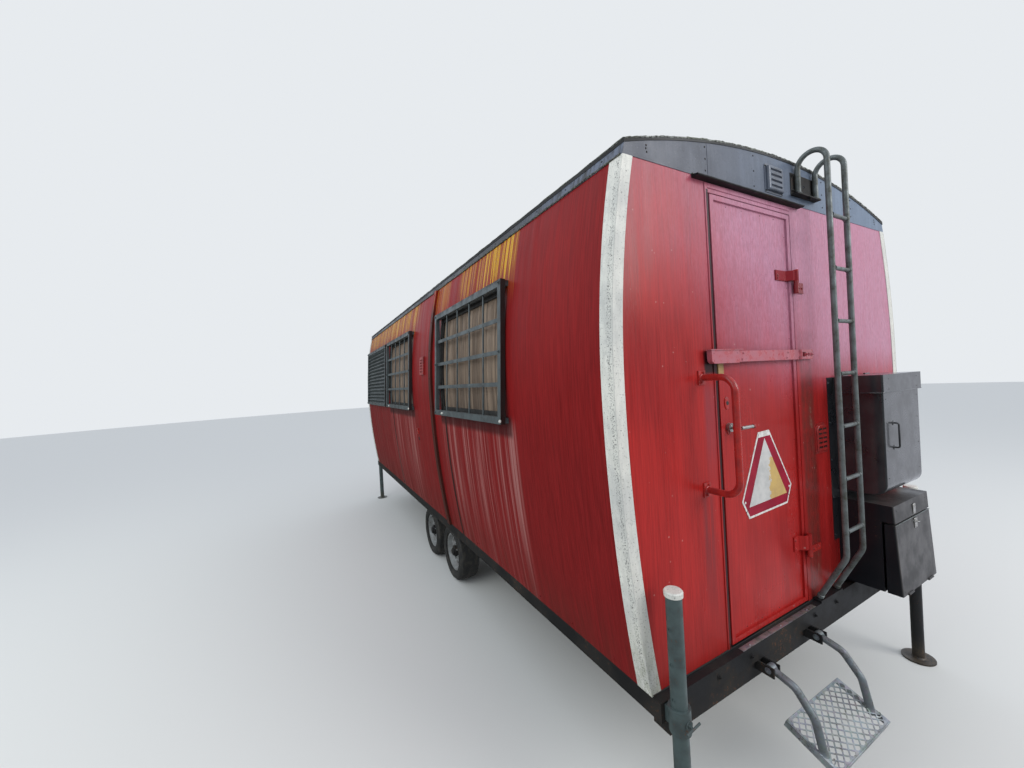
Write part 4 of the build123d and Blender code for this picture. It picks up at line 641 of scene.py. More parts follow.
def addCone(mesh, place, axis, foot, head, height, count=12):
    # stands on its foot at the place
    matrix = standing(place, axis) @ Matrix.Translation((0, 0, height / 2))
    bmesh.ops.create_cone(mesh, cap_ends=True, segments=count, radius1=foot, radius2=head, depth=height,
                          matrix=matrix)


def addNail(mesh, place, axis, radius=0.0032, height=0.0012):
    addCone(mesh, place, axis, radius, radius * 0.5, height, 8)


def addScrew(mesh, place, axis, radius=0.006):
    # a low rim and a round head
    addCone(mesh, place, axis, radius * 1.45, radius * 1.35, radius * 0.2, 14)
    addCone(mesh, place, axis, radius, radius * 0.55, radius * 0.75, 12)


def addBolt(mesh, place, axis, radius=0.008):
    # a washer, a hexagon and the end of the thread
    addCone(mesh, place, axis, radius * 1.7, radius * 1.65, radius * 0.25, 16)
    addCone(mesh, place, axis, radius, radius, radius * 0.8, 6)
    addCone(mesh, place, axis, radius * 0.88, radius * 0.7, radius * 0.95, 6)
    addCone(mesh, place, axis, radius * 0.5, radius * 0.42, radius * 1.45, 10)


def fitRear(mesh, add, xs, zs, out, *sizes):
    # the same fitting at each crossing of xs and zs on the rear end; out is a number or depends on z
    for x in xs:
        for z in zs:
            add(mesh, onRear(x, z, out(z) if callable(out) else out), rear, *sizes)


def vertsOf(made):
    return [item for item in made if isinstance(item, bmesh.types.BMVert)]


def bevelEdges(mesh, edges, offset, segments=2):
    bmesh.ops.bevel(mesh, geom=edges, offset=offset, segments=segments, profile=0.5, affect="EDGES",
                    material=-1)


def addBlock(mesh, low, high, bevel=0.0, segments=2, matrix=Matrix()):
    low, high = Vector(low), Vector(high)
    place = Matrix.Translation((low + high) / 2) @ Matrix.Diagonal((*(high - low), 1))
    made = bmesh.ops.create_cube(mesh, size=1.0, matrix=matrix @ place)["verts"]
    if bevel:
        bevelEdges(mesh, list({edge for vert in made for edge in vert.link_edges}), bevel, segments)


def addLathe(mesh, place, axis, profile, steps=24, hoop=False):
    # profile is a list of (radius, height), spun around the axis; a hoop closes on itself, not on the axis
    before = set(mesh.verts)
    if not hoop:
        profile = [(0, profile[0][1])] + [p for p in profile if p[0] > 0] + [(0, profile[-1][1])]
    verts = [mesh.verts.new((radius, 0, height)) for radius, height in profile]
    pairs = list(zip(verts, verts[1:])) + ([(verts[-1], verts[0])] if hoop else [])
    edges = [mesh.edges.new(pair) for pair in pairs]
    bmesh.ops.spin(mesh, geom=verts + edges, cent=(0, 0, 0), axis=(0, 0, 1), angle=2 * math.pi,
                   steps=steps, use_merge=True)
    made = [vert for vert in mesh.verts if vert not in before]
    bmesh.ops.remove_doubles(mesh, verts=made, dist=1e-6)
    made = [vert for vert in mesh.verts if vert not in before]
    bmesh.ops.transform(mesh, matrix=standing(place, axis), verts=made)


def addTube(mesh, points, radius, count=10):
    # a circle pulled through the points; radius is one number or one for each point
    points = [Vector(p) for p in points]
    radii = radius if isinstance(radius, list) else [radius] * len(points)
    frames = []
    turn = None
    for i, point in enumerate(points):
        axis = (points[min(i + 1, len(points) - 1)] - points[max(i - 1, 0)]).normalized()
        if turn is None:
            turn = axis.to_track_quat("Z", "Y")
        else:
            turn = (turn @ Vector((0, 0, 1))).rotation_difference(axis) @ turn
        frames.append(Matrix.Translation(point) @ turn.to_matrix().to_4x4() @ Matrix.Scale(radii[i], 4))
    ring = bmesh.ops.create_circle(mesh, cap_ends=False, segments=count, radius=1.0,
                                   matrix=frames[0])["verts"]
    start = list({edge for vert in ring for edge in vert.link_edges})
    edges = start
    for before, after in zip(frames, frames[1:]):
        made = bmesh.ops.extrude_edge_only(mesh, edges=edges)["geom"]
        verts = vertsOf(made)
        bmesh.ops.transform(mesh, matrix=after @ before.inverted(), verts=verts)
        fresh = set(verts)
        edges = [item for item in made
                 if isinstance(item, bmesh.types.BMEdge) and set(item.verts) <= fresh]
    bmesh.ops.holes_fill(mesh, edges=start, sides=count)
    bmesh.ops.holes_fill(mesh, edges=edges, sides=count)


def addRagged(mesh, points, radius, least, most, count):
    # a tube whose radius varies by chance between two shares
    addTube(mesh, points, [radius * chance.uniform(least, most) for _ in points], count)


def addPlate(mesh, outline, matrix, thickness):
    # a flat outline in the plane of the matrix's X and Y, raised along its Z
    verts = [mesh.verts.new(matrix @ Vector((a, b, 0))) for a, b in outline]
    face = mesh.faces.new(verts)
    top = vertsOf(bmesh.ops.extrude_face_region(mesh, geom=[face])["geom"])
    bmesh.ops.translate(mesh, vec=matrix.to_3x3() @ Vector((0, 0, thickness)), verts=top)
    return top


def wallFrame(x, z, out, tilt=0.0):
    # X to the right, Y up and Z out of the rear wall
    return Matrix.Translation(onRear(x, z, out)) @ Matrix.Rotation(math.radians(90), 4, "X") @ (
        Matrix.Rotation(math.radians(tilt), 4, "Z"))


def oval(width, height, count=20):
    return [(width / 2 * math.cos(a), height / 2 * math.sin(a))
            for a in (2 * math.pi * i / count for i in range(count))]


rear = Vector((0, -1, 0))
chance = random.Random(11)


# roof: felt and moss along its edges, lapped seams with rivets

roofTrim = {"felt": 0.0035, "drop": 0.003, "endSteps": 180, "eaveSteps": 150, "seams": 4,
            "seamWidth": 0.036, "seamHeight": 0.002, "seamSteps": 48, "rivets": 15}


def feltEdge(yEdge):
    # ragged felt and moss along the roof's end
    mesh = bmesh.new()
    half = body["eaveX"] + 0.004
    count = roofTrim["endSteps"]
    points = [(x, yEdge, roofZ(x) - roofTrim["drop"] + chance.uniform(-0.0015, 0.002))
              for x in (-half + 2 * half * i / count for i in range(count + 1))]
    addRagged(mesh, points, roofTrim["felt"], 0.7, 1.35, 7)
    return mesh


def eaveEdge(sign):
    mesh = bmesh.new()
    count = roofTrim["eaveSteps"]
    points = [(sign * (body["eaveX"] + 0.007), yRear + (yFront - yRear) * i / count,
               body["eaveZ"] - roofTrim["drop"] + chance.uniform(-0.0015, 0.0015)) for i in range(count + 1)]
    addRagged(mesh, points, roofTrim["felt"], 0.7, 1.3, 7)
    return mesh


makePiece("felt_edge_rear", feltEdge(yRear - 0.004), "felt")
makePiece("felt_edge_front", feltEdge(yFront + 0.004), "felt")
makePiece("felt_eave_left", eaveEdge(-1), "felt")
makePiece("felt_eave_right", eaveEdge(1), "felt")

seams = bmesh.new()
rivets = bmesh.new()
reach = body["eaveX"] - 0.012
for i in range(roofTrim["seams"]):
    y = yRear + (yFront - yRear) * (i + 1) / (roofTrim["seams"] + 1)
    verts = [seams.verts.new((x, y - roofTrim["seamWidth"] / 2, roofZ(x) - 0.0005))
             for x in (-reach + 2 * reach * j / roofTrim["seamSteps"]
                       for j in range(roofTrim["seamSteps"] + 1))]
    edges = [seams.edges.new(pair) for pair in zip(verts, verts[1:])]
    across = vertsOf(bmesh.ops.extrude_edge_only(seams, edges=edges)["geom"])
    bmesh.ops.translate(seams, vec=(0, roofTrim["seamWidth"], 0), verts=across)
    for j in range(roofTrim["rivets"]):
        x = -reach + 2 * reach * (j + 0.5) / roofTrim["rivets"]
        addNail(rivets, (x, y, roofZ(x) + roofTrim["seamHeight"] - 0.0006), (x / roofRadius, 0, 1),
                0.005, 0.002)
skin = vertsOf(bmesh.ops.extrude_face_region(seams, geom=list(seams.faces))["geom"])
bmesh.ops.translate(seams, vec=(0, 0, roofTrim["seamHeight"]), verts=skin)
makePiece("roof_seams", seams, "roof")
makePiece("roof_rivets", rivets, "chassis")
print("roof trim made")


# fascia: overlapped joints, rows of nails, a folded foot

fascia = {"nailRows": (-1.02, -0.655, -0.29, 0.36, 0.70, 1.02), "nails": 3, "joints": (-0.655, 0.62),
          "sideNails": 24, "sideStart": 0.12, "sidePitch": 0.25, "footSteps": 60, "footLength": 5.98}
nails = bmesh.new()
laps = bmesh.new()
for yFace, sign in bothEnds:
    face = yFace + sign * body["sheet"]
    for x in fascia["nailRows"]:
        low, high = body["fasciaZ"] + 0.034, roofZ(x) - 0.035
        for i in range(fascia["nails"]):
            z = low + (high - low) * i / (fascia["nails"] - 1)
            addNail(nails, (x + chance.uniform(-0.003, 0.003), face, z), (0, sign, 0), 0.0045, 0.002)
    for x in fascia["joints"]:
        addBlock(laps, (x + 0.012, face, body["fasciaZ"]), (x + 0.05, face + sign * 0.0012, roofZ(x) - 0.018),
                 0.0004, 1)
for sign in (-1, 1):
    z = body["fasciaZ"] + 0.03
    for i in range(fascia["sideNails"]):
        along = fascia["sideStart"] + i * fascia["sidePitch"]
        addNail(nails, onSide(sign, along, z, body["sheet"]), outwards(sign, z), 0.0045, 0.002)
makePiece("fascia_nails", nails, "chassis")
makePiece("fascia_laps", laps, "band")

foot = bmesh.new()
for sign in (-1, 1):
    z = body["fasciaZ"] + 0.004
    points = [onSide(sign, 0.01 + fascia["footLength"] * i / fascia["footSteps"],
                     z + chance.uniform(-0.002, 0.002), 0.003) for i in range(fascia["footSteps"] + 1)]
    addRagged(foot, points, 0.005, 0.7, 1.3, 6)
makePiece("fascia_foot", foot, "felt")
print("fascia made")


# corner strips: the folded ridge and the nails on both legs

corner = {"ridge": 0.0022, "nail": 0.0022, "nailSide": 0.018, "nailEnd": 0.030, "pitch": 0.075,
          "steps": 60}
ridge = bmesh.new()
cornerNails = bmesh.new()
for sign in (-1, 1):
    for yFace, out in bothEnds:
        points = []
        for i in range(corner["steps"]):
            z = wallFoot + 0.004 + (body["fasciaZ"] - wallFoot - 0.01) * i / (corner["steps"] - 1)
            x = sideX(z) + body["sheet"] * 0.6
            points.append((sign * x, yFace + out * body["sheet"] * 0.6, z))
        addTube(ridge, points, corner["ridge"], 6)
        z = wallFoot + 0.05
        while z < body["fasciaZ"] - 0.03:
            place = onSide(sign, 0, z, body["sheet"])
            place.y = yFace - out * (corner["nailSide"] + chance.uniform(-0.010, 0.010))
            addNail(cornerNails, place, outwards(sign, z), corner["nail"] * chance.uniform(0.6, 1.2), 0.001)
            if chance.random() < 0.35:
                x = sideX(z) - corner["nailEnd"] + chance.uniform(-0.008, 0.014)
                addNail(cornerNails, (sign * x, yFace + out * body["sheet"], z + 0.02), (0, out, 0),
                        corner["nail"], 0.001)
            z += corner["pitch"] * chance.uniform(0.3, 1.7)
makePiece("corner_ridges", ridge, "white")
makePiece("corner_nails", cornerNails, "chassis")
print("corner strips made")


# rear door: seals, panel screws, oval lock plates, triangle layers, strips in the gap

door = {"left": -0.636, "right": 0.008, "foot": 0.672, "top": 2.682, "recess": 0.009, "border": 0.025,
        "gap": 0.018, "screwPitch": 0.262}
seal = bmesh.new()
addBlock(seal, (door["left"] - 0.0135, yRear + 0.003, wallFoot + 0.01),
         (door["left"] - 0.0105, yRear + 0.016, door["top"] + 0.004), 0.001, 1)
makePiece("door_gap_strip", seal, "seal")
rubber = bmesh.new()
addBlock(rubber, (door["left"] - door["gap"] + 0.0002, yRear + 0.004, wallFoot + 0.01),
         (door["left"] - 0.0135, yRear + 0.040, door["top"] + 0.004), 0.001, 1)
makePiece("door_gap_rubber", rubber, "rubber")
lip = bmesh.new()
addBlock(lip, (door["left"] - 0.003, yRear + 0.006, door["foot"] + 0.004),
         (door["left"] + 0.001, yRear + 0.040, door["top"] - 0.004), 0.001, 1)
makePiece("door_edge_rubber", lip, "rubber", "door")

doorScrews = bmesh.new()
inset = door["border"] + 0.012
panelFace = -door["recess"]
for x in (door["left"] + inset, door["right"] - inset):
    z = door["foot"] + 0.06
    while z < door["top"] - 0.04:
        addNail(doorScrews, onRear(x, z, panelFace), rear, 0.0028, 0.0012)
        z += door["screwPitch"]
fitRear(doorScrews, addNail, (-0.51, -0.39, -0.24, -0.12), (door["foot"] + 0.036, door["top"] - 0.036),
        panelFace, 0.0028, 0.0012)
makePiece("door_screws", doorScrews, "chassis", "door")

lockPlates = bmesh.new()
keyhole = bmesh.new()
for x, z, width, height in ((-0.576, 1.748, 0.035, 0.058), (-0.571, 1.632, 0.036, 0.056)):
    top = addPlate(lockPlates, oval(width, height), wallFrame(x, z, panelFace), 0.0035)
    edges = list({edge for vert in top for edge in vert.link_edges if all(v in top for v in edge.verts)})
    bevelEdges(lockPlates, edges, 0.0014)
addCone(keyhole, onRear(-0.571, 1.617, panelFace + 0.0034), rear, 0.004, 0.004, 0.0006, 12)
addBlock(keyhole, (-0.5722, yRear - panelFace - 0.0040, 1.606), (-0.5698, yRear - panelFace - 0.0034, 1.617))
addCone(keyhole, onRear(-0.576, 1.748, panelFace + 0.0034), rear, 0.009, 0.009, 0.0008, 16)
makePiece("lock_plates", lockPlates, "redSteel", "door")
makePiece("keyholes", keyhole, "rubber", "door")

leverRings = bmesh.new()
for reach in (0.016, 0.046):
    addLathe(leverRings, onRear(-0.572, 1.638, reach), rear,
             [(0.0075, 0), (0.0115, 0.001), (0.0115, 0.004), (0.0075, 0.005)], 20)
addLathe(leverRings, Vector((-0.482, yRear - 0.05, 1.638)), (1, 0, 0),
         [(0.0078, -0.004), (0.0105, -0.002), (0.0105, 0.006), (0.006, 0.010)], 20)
makePiece("lever_rings", leverRings, "redSteel", "door")

triangle = {"x": -0.288, "z": 1.200, "tilt": 2.2, "top": 0.046, "half": 0.210, "foot": 0.1635,
            "footHeight": 0.088, "height": 0.392, "edge": 0.010}


def triangleOutline(shrink):
    # the sign's outline moved inwards, worked out from its slanted sides
    rise, run = triangle["height"] - triangle["footHeight"], triangle["half"] - triangle["top"]
    side = shrink / math.sin(math.atan2(rise, run))
    low, high = shrink, triangle["height"] - shrink
    topHalf = triangle["top"] + run / rise * shrink - side
    half = triangle["half"] - side * 0.9
    footHeight = triangle["footHeight"] + shrink * 0.2
    foot = triangle["foot"] - shrink * 0.6
    return [(-topHalf, high), (-half, footHeight), (-foot, low), (foot, low), (half, footHeight),
            (topHalf, high)]


def signMatrix(out):
    return wallFrame(triangle["x"], triangle["z"], panelFace + 0.002 + out, triangle["tilt"])


crimson = bmesh.new()
addPlate(crimson, triangleOutline(triangle["edge"]), signMatrix(0), 0.0008)
makePiece("triangle_border", crimson, "signRed", "door")
centre = bmesh.new()
addPlate(centre, [(0, 0.358), (-0.160, 0.054), (0.160, 0.054)], signMatrix(0.0008), 0.0007)
makePiece("triangle_centre", centre, "signCentre", "door")
cap = bmesh.new()
addPlate(cap, [(-0.041, 0.388), (-0.052, 0.366), (0.052, 0.366), (0.041, 0.388)], signMatrix(0.0008),
         0.0007)
for x, z in ((-0.187, 0.082), (0.187, 0.082), (0, 0.374)):
    place = signMatrix(0.0008) @ Vector((x, z, 0))
    addCone(cap, place, rear, 0.006, 0.0035, 0.0015, 12)
makePiece("triangle_white", cap, "signWhite", "door")
seams = bmesh.new()
for start, end in (((-0.161, 0.053), (-0.186, 0.034)), ((0.161, 0.053), (0.186, 0.034))):
    a, b = (signMatrix(0.0007) @ Vector((*p, 0)) for p in (start, end))
    addTube(seams, [a, b], 0.0009, 6)
makePiece("triangle_seams", seams, "rubber", "door")
print("door trim made")


# hinges, security bar, lug and lock housing

bar = {"foot": 1.932, "top": 1.982, "middle": 1.957, "front": 0.022, "houseLeft": -0.724,
       "houseRight": -0.529, "houseFront": 0.033}
redBolts = bmesh.new()
fitRear(redBolts, addScrew, (-0.118,), (2.364, 2.350), panelFace + 0.006, 0.006)
fitRear(redBolts, addScrew, (-0.076,), (0.960, 1.002), panelFace + 0.006, 0.006)
for x in (-0.486, -0.112):
    for shift in (-0.014, 0.014):
        addScrew(redBolts, onRear(x + shift * 0.4, bar["middle"] + shift, bar["front"]), rear, 0.0055)
for z in (1.9405, 1.9725):
    addNail(redBolts, onRear(bar["houseLeft"] + 0.016, z, bar["houseFront"]), rear, 0.0035, 0.002)
    addNail(redBolts, onRear(bar["houseRight"] - 0.014, z, bar["houseFront"]), rear, 0.0035, 0.002)
makePiece("door_bolts", redBolts, "redSteel", "door")
wallBolts = bmesh.new()
fitRear(wallBolts, addScrew, (0.066, 0.090), (2.306,), 0.006, 0.006)
fitRear(wallBolts, addScrew, (0.080, 0.136), (0.925,), 0.006, 0.006)
fitRear(wallBolts, addBolt, (0.084, 0.137), (bar["middle"],), 0.014, 0.0065)
for z in (0.9055, 2.2755):
    addCone(wallBolts, onRear(0.012, z - 0.003, 0.018), (0, 0, 1), 0.0095, 0.0125, 0.004, 20)
makePiece("wall_hinge_bolts", wallBolts, "redSteel")
bead = bmesh.new()
for z in (bar["foot"], bar["top"]):
    points = [onRear(bar["houseRight"] + 0.001, z + (0.003 if z == bar["foot"] else -0.003), 0.012 + 0.002 * i)
              for i in range(6)]
    addRagged(bead, points, 0.003, 0.8, 1.2, 7)
makePiece("housing_welds", bead, "redSteel", "door")
print("hinge and bar fittings made")


# rain rail: hemmed lip, felt along its top and screws

rail = {"left": -0.752, "right": 0.100, "z": 2.741, "front": 0.030, "hem": 0.0042, "screws": 6}


def alongRail(count, z, out):
    return [onRear(rail["left"] + (rail["right"] - rail["left"]) * i / count, z, out) for i in range(count + 1)]


lipMesh = bmesh.new()
points = alongRail(24, rail["z"] - 0.0075, rail["front"])
addRagged(lipMesh, points, rail["hem"], 0.85, 1.15, 8)
makePiece("rain_rail_hem", lipMesh, "chassis")
felt = bmesh.new()
points = alongRail(60, rail["z"] + 0.003, 0.003)
addRagged(felt, points, rail["hem"], 0.6, 1.4, 6)
makePiece("rain_rail_felt", felt, "felt")
railScrews = bmesh.new()
for i in range(rail["screws"]):
    x = rail["left"] + 0.05 + i * 0.15
    addScrew(railScrews, onRear(x, rail["z"] - 0.003, 0.014), (0, -0.45, 1), 0.0038)
makePiece("rain_rail_screws", railScrews, "chassis")
print("rain rail trim made")


# vents: louvre blades in the slots, screws at the corners

ventBlades = bmesh.new()
ventScrews = bmesh.new()
upperVent = {"x": -0.1255, "z": 2.8385, "half": 0.048, "rows": 4, "pitch": 0.0264}
for yFace, sign in bothEnds:
    for i in range(upperVent["rows"]):
        z = upperVent["z"] + upperVent["pitch"] * (i - 1.5)
        tilt = Matrix.Translation((upperVent["x"], yFace + sign * 0.0135, z)) @ (
            Matrix.Rotation(math.radians(-sign * 32), 4, "X"))
        addBlock(ventBlades, (-upperVent["half"], -0.007, -0.0009), (upperVent["half"], 0.007, 0.0009),
                 0.0004, 1, tilt)
    for x in (upperVent["x"] - 0.070, upperVent["x"] + 0.070):
        for z in (upperVent["z"] - 0.064, upperVent["z"] + 0.058):
            addScrew(ventScrews, (x, yFace + sign * 0.0055, z), (0, sign, 0), 0.0035)
makePiece("upper_vent_blades", ventBlades, "vent")
makePiece("upper_vent_screws", ventScrews, "chassis")
lowerBlades = bmesh.new()
lowerVent = {"x": 0.221, "z": 1.4985, "columns": 0.0226, "rows": 5, "pitch": 0.0244}
for column in (-1, 1):
    for i in range(lowerVent["rows"]):
        z = lowerVent["z"] + lowerVent["pitch"] * (i - 2)
        tilt = Matrix.Translation((lowerVent["x"] + column * lowerVent["columns"], yRear - 0.0085, z)) @ (
            Matrix.Rotation(math.radians(30), 4, "X"))
        addBlock(lowerBlades, (-0.018, -0.005, -0.0008), (0.018, 0.005, 0.0008), 0.0003, 1, tilt)
ventStuds = bmesh.new()
fitRear(ventStuds, addScrew, (lowerVent["x"] - 0.054, lowerVent["x"] + 0.054),
        (lowerVent["z"] - 0.072, lowerVent["z"] + 0.030), 0.003, 0.0032)
makePiece("lower_vent_blades", lowerBlades, "chassis")
makePiece("lower_vent_screws", ventStuds, "vent")
print("vent blades made")


# grab handle: bolts through the flanges and welds around the tube

handle = {"x": -0.758, "places": (1.871, 1.390), "flange": 0.006}
handleBolts = bmesh.new()
handleWelds = bmesh.new()
for z in handle["places"]:
    for shift in (-0.0215, 0.0215):
        addBolt(handleBolts, onRear(handle["x"] + shift * 0.35, z + shift, handle["flange"]), rear, 0.0055)
    addLathe(handleWelds, onRear(handle["x"], z, handle["flange"]), rear,
             [(0.0135, 0.006), (0.0165, 0.0045), (0.0185, 0.0015), (0.0180, -0.0005)], 24)
makePiece("handle_bolts", handleBolts, "redSteel")
makePiece("handle_welds", handleWelds, "redSteel")


# ladder: weld beads, bracket bolts, foot lugs

ladder = {"left": 0.076, "right": 0.254, "out": 0.150, "first": 1.056, "pitch": 0.264, "count": 7,
          "shelf": 2.797, "bend": 0.930, "foot": 0.676}
welds = bmesh.new()
for i in range(ladder["count"]):
    z = ladder["first"] + i * ladder["pitch"]
    for x, side in ((ladder["left"], 1), (ladder["right"], -1)):
        addLathe(welds, onRear(x + side * 0.0105, z, ladder["out"]), (side, 0, 0),
                 [(0.0150, -0.001), (0.0140, 0.003), (0.0118, 0.0055), (0.0098, 0.0065)], 18)
makePiece("ladder_welds", welds, "ladder")
ladderBolts = bmesh.new()
fitRear(ladderBolts, addBolt, (ladder["left"] - 0.028, ladder["right"] + 0.010), (2.895, 2.815), 0.0055,
        0.0065)
addBolt(ladderBolts, onRear(0.165, ladder["shelf"] - 0.012, 0.030), (0, 0, -1), 0.006)
for x in (ladder["left"] - 0.017, ladder["right"] + 0.017):
    addBolt(ladderBolts, onRear(x, 0.670, 0.024), (0, 0, 1), 0.006)
makePiece("ladder_bolts", ladderBolts, "chassis")
feet = bmesh.new()
lean = Vector((0, -(ladder["out"] - 0.022), ladder["bend"] - ladder["foot"])).normalized()
for x in (ladder["left"], ladder["right"]):
    addLathe(feet, onRear(x, ladder["foot"], 0.022) + lean * 0.008, lean,
             [(0.0132, -0.002), (0.0160, 0.000), (0.0160, 0.012), (0.0132, 0.014)], 20)
    addLathe(feet, onRear(x, ladder["shelf"] + 0.0006, 0.019), (0, 0, 1),
             [(0.0185, 0.0), (0.0175, 0.003), (0.0150, 0.006), (0.0128, 0.008)], 20)
makePiece("ladder_ferrules", feet, "ladder")
print("handle and ladder fittings made")


# boxes: hasps, pull, rivets and hinge screws

upperBox = {"left": 0.380, "right": 0.850, "front": 0.217, "lidFront": 0.226, "hem": 0.0024}
lowerBox = {"foot": 0.689, "top": 1.146, "frontTop": 0.238, "frontFoot": 0.262, "flapTop": 1.048,
            "edge": 0.372, "edgeLength": 0.459, "edgeSteps": 16}


def lowerFront(z):
    share = (z - lowerBox["foot"]) / (lowerBox["top"] - lowerBox["foot"])
    return lowerBox["frontFoot"] + share * (lowerBox["frontTop"] - lowerBox["frontFoot"])


pull = bmesh.new()
upperPull = {"x": 0.488, "foot": 1.438, "top": 1.568, "reach": 0.024, "bend": 0.008, "radius": 0.0045}
low, high, reach, bend = (upperPull[key] for key in ("foot", "top", "reach", "bend"))
grip = [onRear(upperPull["x"], z, 0.216 + out) for z, out in
        ((low, 0), (low, reach - bend), (low + bend * 0.3, reach - bend * 0.3), (low + bend, reach),
         (high - bend, reach), (high - bend * 0.3, reach - bend * 0.3), (high, reach - bend), (high, 0))]
addTube(pull, grip, upperPull["radius"], 10)
for z in (low, high):
    addLathe(pull, onRear(upperPull["x"], z, upperBox["front"]), rear, [(0.013, 0), (0.012, 0.002), (0.0052, 0.004)], 18)
makePiece("upper_box_pull", pull, "black")
lidTrim = bmesh.new()
points = [onRear(x, 1.7345, out) for x, out in
          ((0.3605, 0.022), (0.3605, 0.2205), (0.3625, 0.2245), (0.3665, 0.2262),
           (0.8635, 0.2262), (0.8675, 0.2245), (0.8695, 0.2205), (0.8695, 0.022))]
addTube(lidTrim, points, upperBox["hem"], 8)
fitRear(lidTrim, addNail, (0.43, 0.80), (1.752, 1.806), upperBox["lidFront"], 0.004, 0.002)
makePiece("upper_lid_hem", lidTrim, "black", "upper_lid")
boxRivets = bmesh.new()
fitRear(boxRivets, addNail, (upperBox["left"] + 0.03, upperBox["right"] - 0.03),
        (1.285, 1.43, 1.575, 1.70), upperBox["front"], 0.004, 0.002)
fitRear(boxRivets, addScrew, (0.330,), (0.94, 1.15, 1.36, 1.57, 1.79), 0.0015, 0.005)
fitRear(boxRivets, addNail, (0.41, 0.60, 0.79), (1.118,), lowerFront, 0.004, 0.002)
makePiece("box_rivets", boxRivets, "black")
collarHasp = bmesh.new()
addBlock(collarHasp, (0.606, yRear - lowerFront(1.09) - 0.0035, 1.064),
         (0.638, yRear - lowerFront(1.09), 1.118), 0.001, 1)
addScrew(collarHasp, onRear(0.622, 1.106, lowerFront(1.1) + 0.0035), rear, 0.004)
makePiece("lower_box_hasp", collarHasp, "bright")
flapStaple = bmesh.new()
addBlock(flapStaple, (0.604, yRear - lowerFront(1.0) - 0.003, 0.990),
         (0.640, yRear - lowerFront(1.0) + 0.001, 1.042), 0.001, 1)
staple = ((0.614, 0.0), (0.614, 0.012), (0.618, 0.016), (0.626, 0.016), (0.630, 0.012), (0.630, 0.0))
addTube(flapStaple, [onRear(x, 1.025, lowerFront(1.02) + reach) for x, reach in staple], 0.0024, 8)
for z in (0.998, 1.008):
    addScrew(flapStaple, onRear(0.622, z, lowerFront(z) + 0.003), rear, 0.003)
makePiece("lower_flap_staple", flapStaple, "bright", "lower_flap")
flapNails = bmesh.new()
fitRear(flapNails, addNail, (0.40, 0.60, 0.80), (0.71, 1.03), lowerFront, 0.004, 0.002)
points = [onRear(lowerBox["edge"] + lowerBox["edgeLength"] * i / lowerBox["edgeSteps"],
                 lowerBox["flapTop"] + 0.0005, lowerFront(lowerBox["flapTop"]) - 0.0005)
          for i in range(lowerBox["edgeSteps"] + 1)]
addTube(flapNails, points, 0.0022, 8)
makePiece("lower_flap_edge", flapNails, "ladder", "lower_flap")
print("box fittings made")


# end sills, step, legs

sill = {"z": 0.6225, "out": 0.042, "bolts": (-1.03, -0.80, -0.57, -0.02, 0.20, 0.55, 0.80, 1.03),
        "sealant": 0.004, "half": 1.14}
sillBolts = bmesh.new()
for yFace, sign in bothEnds:
    for x in sill["bolts"]:
        addBolt(sillBolts, (x, yFace + sign * sill["out"], sill["z"]), (0, sign, 0), 0.008)
    points = [(-sill["half"] + 2 * sill["half"] * i / 40, yFace + sign * 0.002, wallFoot + 0.002)
              for i in range(41)]
    addRagged(sillBolts, points, sill["sealant"], 0.7, 1.2, 6)
makePiece("sill_bolts_and_sealant", sillBolts, "chassis")
threshold = bmesh.new()
addBlock(threshold, (-0.622, yRear - 0.0405, wallFoot - 0.0002), (-0.004, yRear - 0.016, wallFoot + 0.0014),
         0.0006, 2)
for x in (-0.56, -0.31, -0.07):
    addScrew(threshold, (x, yRear - 0.028, wallFoot + 0.0014), (0, 0, 1), 0.004)
makePiece("door_threshold", threshold, "zinc")

stepLow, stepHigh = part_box("entry_step")
pivot = {"out": 0.085, "z": 0.566, "xs": (-0.501, -0.087)}
pins = bmesh.new()
for x in pivot["xs"]:
    for side in (-1, 1):
        addBolt(pins, onRear(x + side * 0.026, pivot["z"], pivot["out"]), (side, 0, 0), 0.008)
makePiece("step_pivot_bolts", pins, "stepZinc")
step = {"backReach": 0.140, "backHeight": 0.374, "depth": 0.206, "tilt": math.radians(20.6),
        "inset": 0.018}


def onStep(x, share, lift=0.0):
    # a place on the sloping tread, share of the way from its back edge
    run, sine, cosine = share * step["depth"], math.sin(step["tilt"]), math.cos(step["tilt"])
    place = onRear(x, step["backHeight"] - run * sine, step["backReach"] + run * cosine)
    return place + Vector((0, -sine, cosine)) * lift


stepWelds = bmesh.new()
for side, edge in ((1, stepLow.x), (-1, stepHigh.x)):
    x = edge + side * step["inset"]
    for share in (0.64, 0.80):
        points = [onStep(x + 0.018 * math.cos(a), share + 0.055 * math.sin(a), 0.0145)
                  for a in (math.pi * i / 6 for i in range(7))]
        addRagged(stepWelds, points, 0.003, 0.7, 1.2, 6)
for share in (0.012, 0.988):
    points = [onStep(stepLow.x + 0.006 + (stepHigh.x - stepLow.x - 0.012) * i / 10, share, 0.0148)
              for i in range(11)]
    addTube(stepWelds, points, 0.0024, 6)
makePiece("step_welds", stepWelds, "stepZinc", "step")

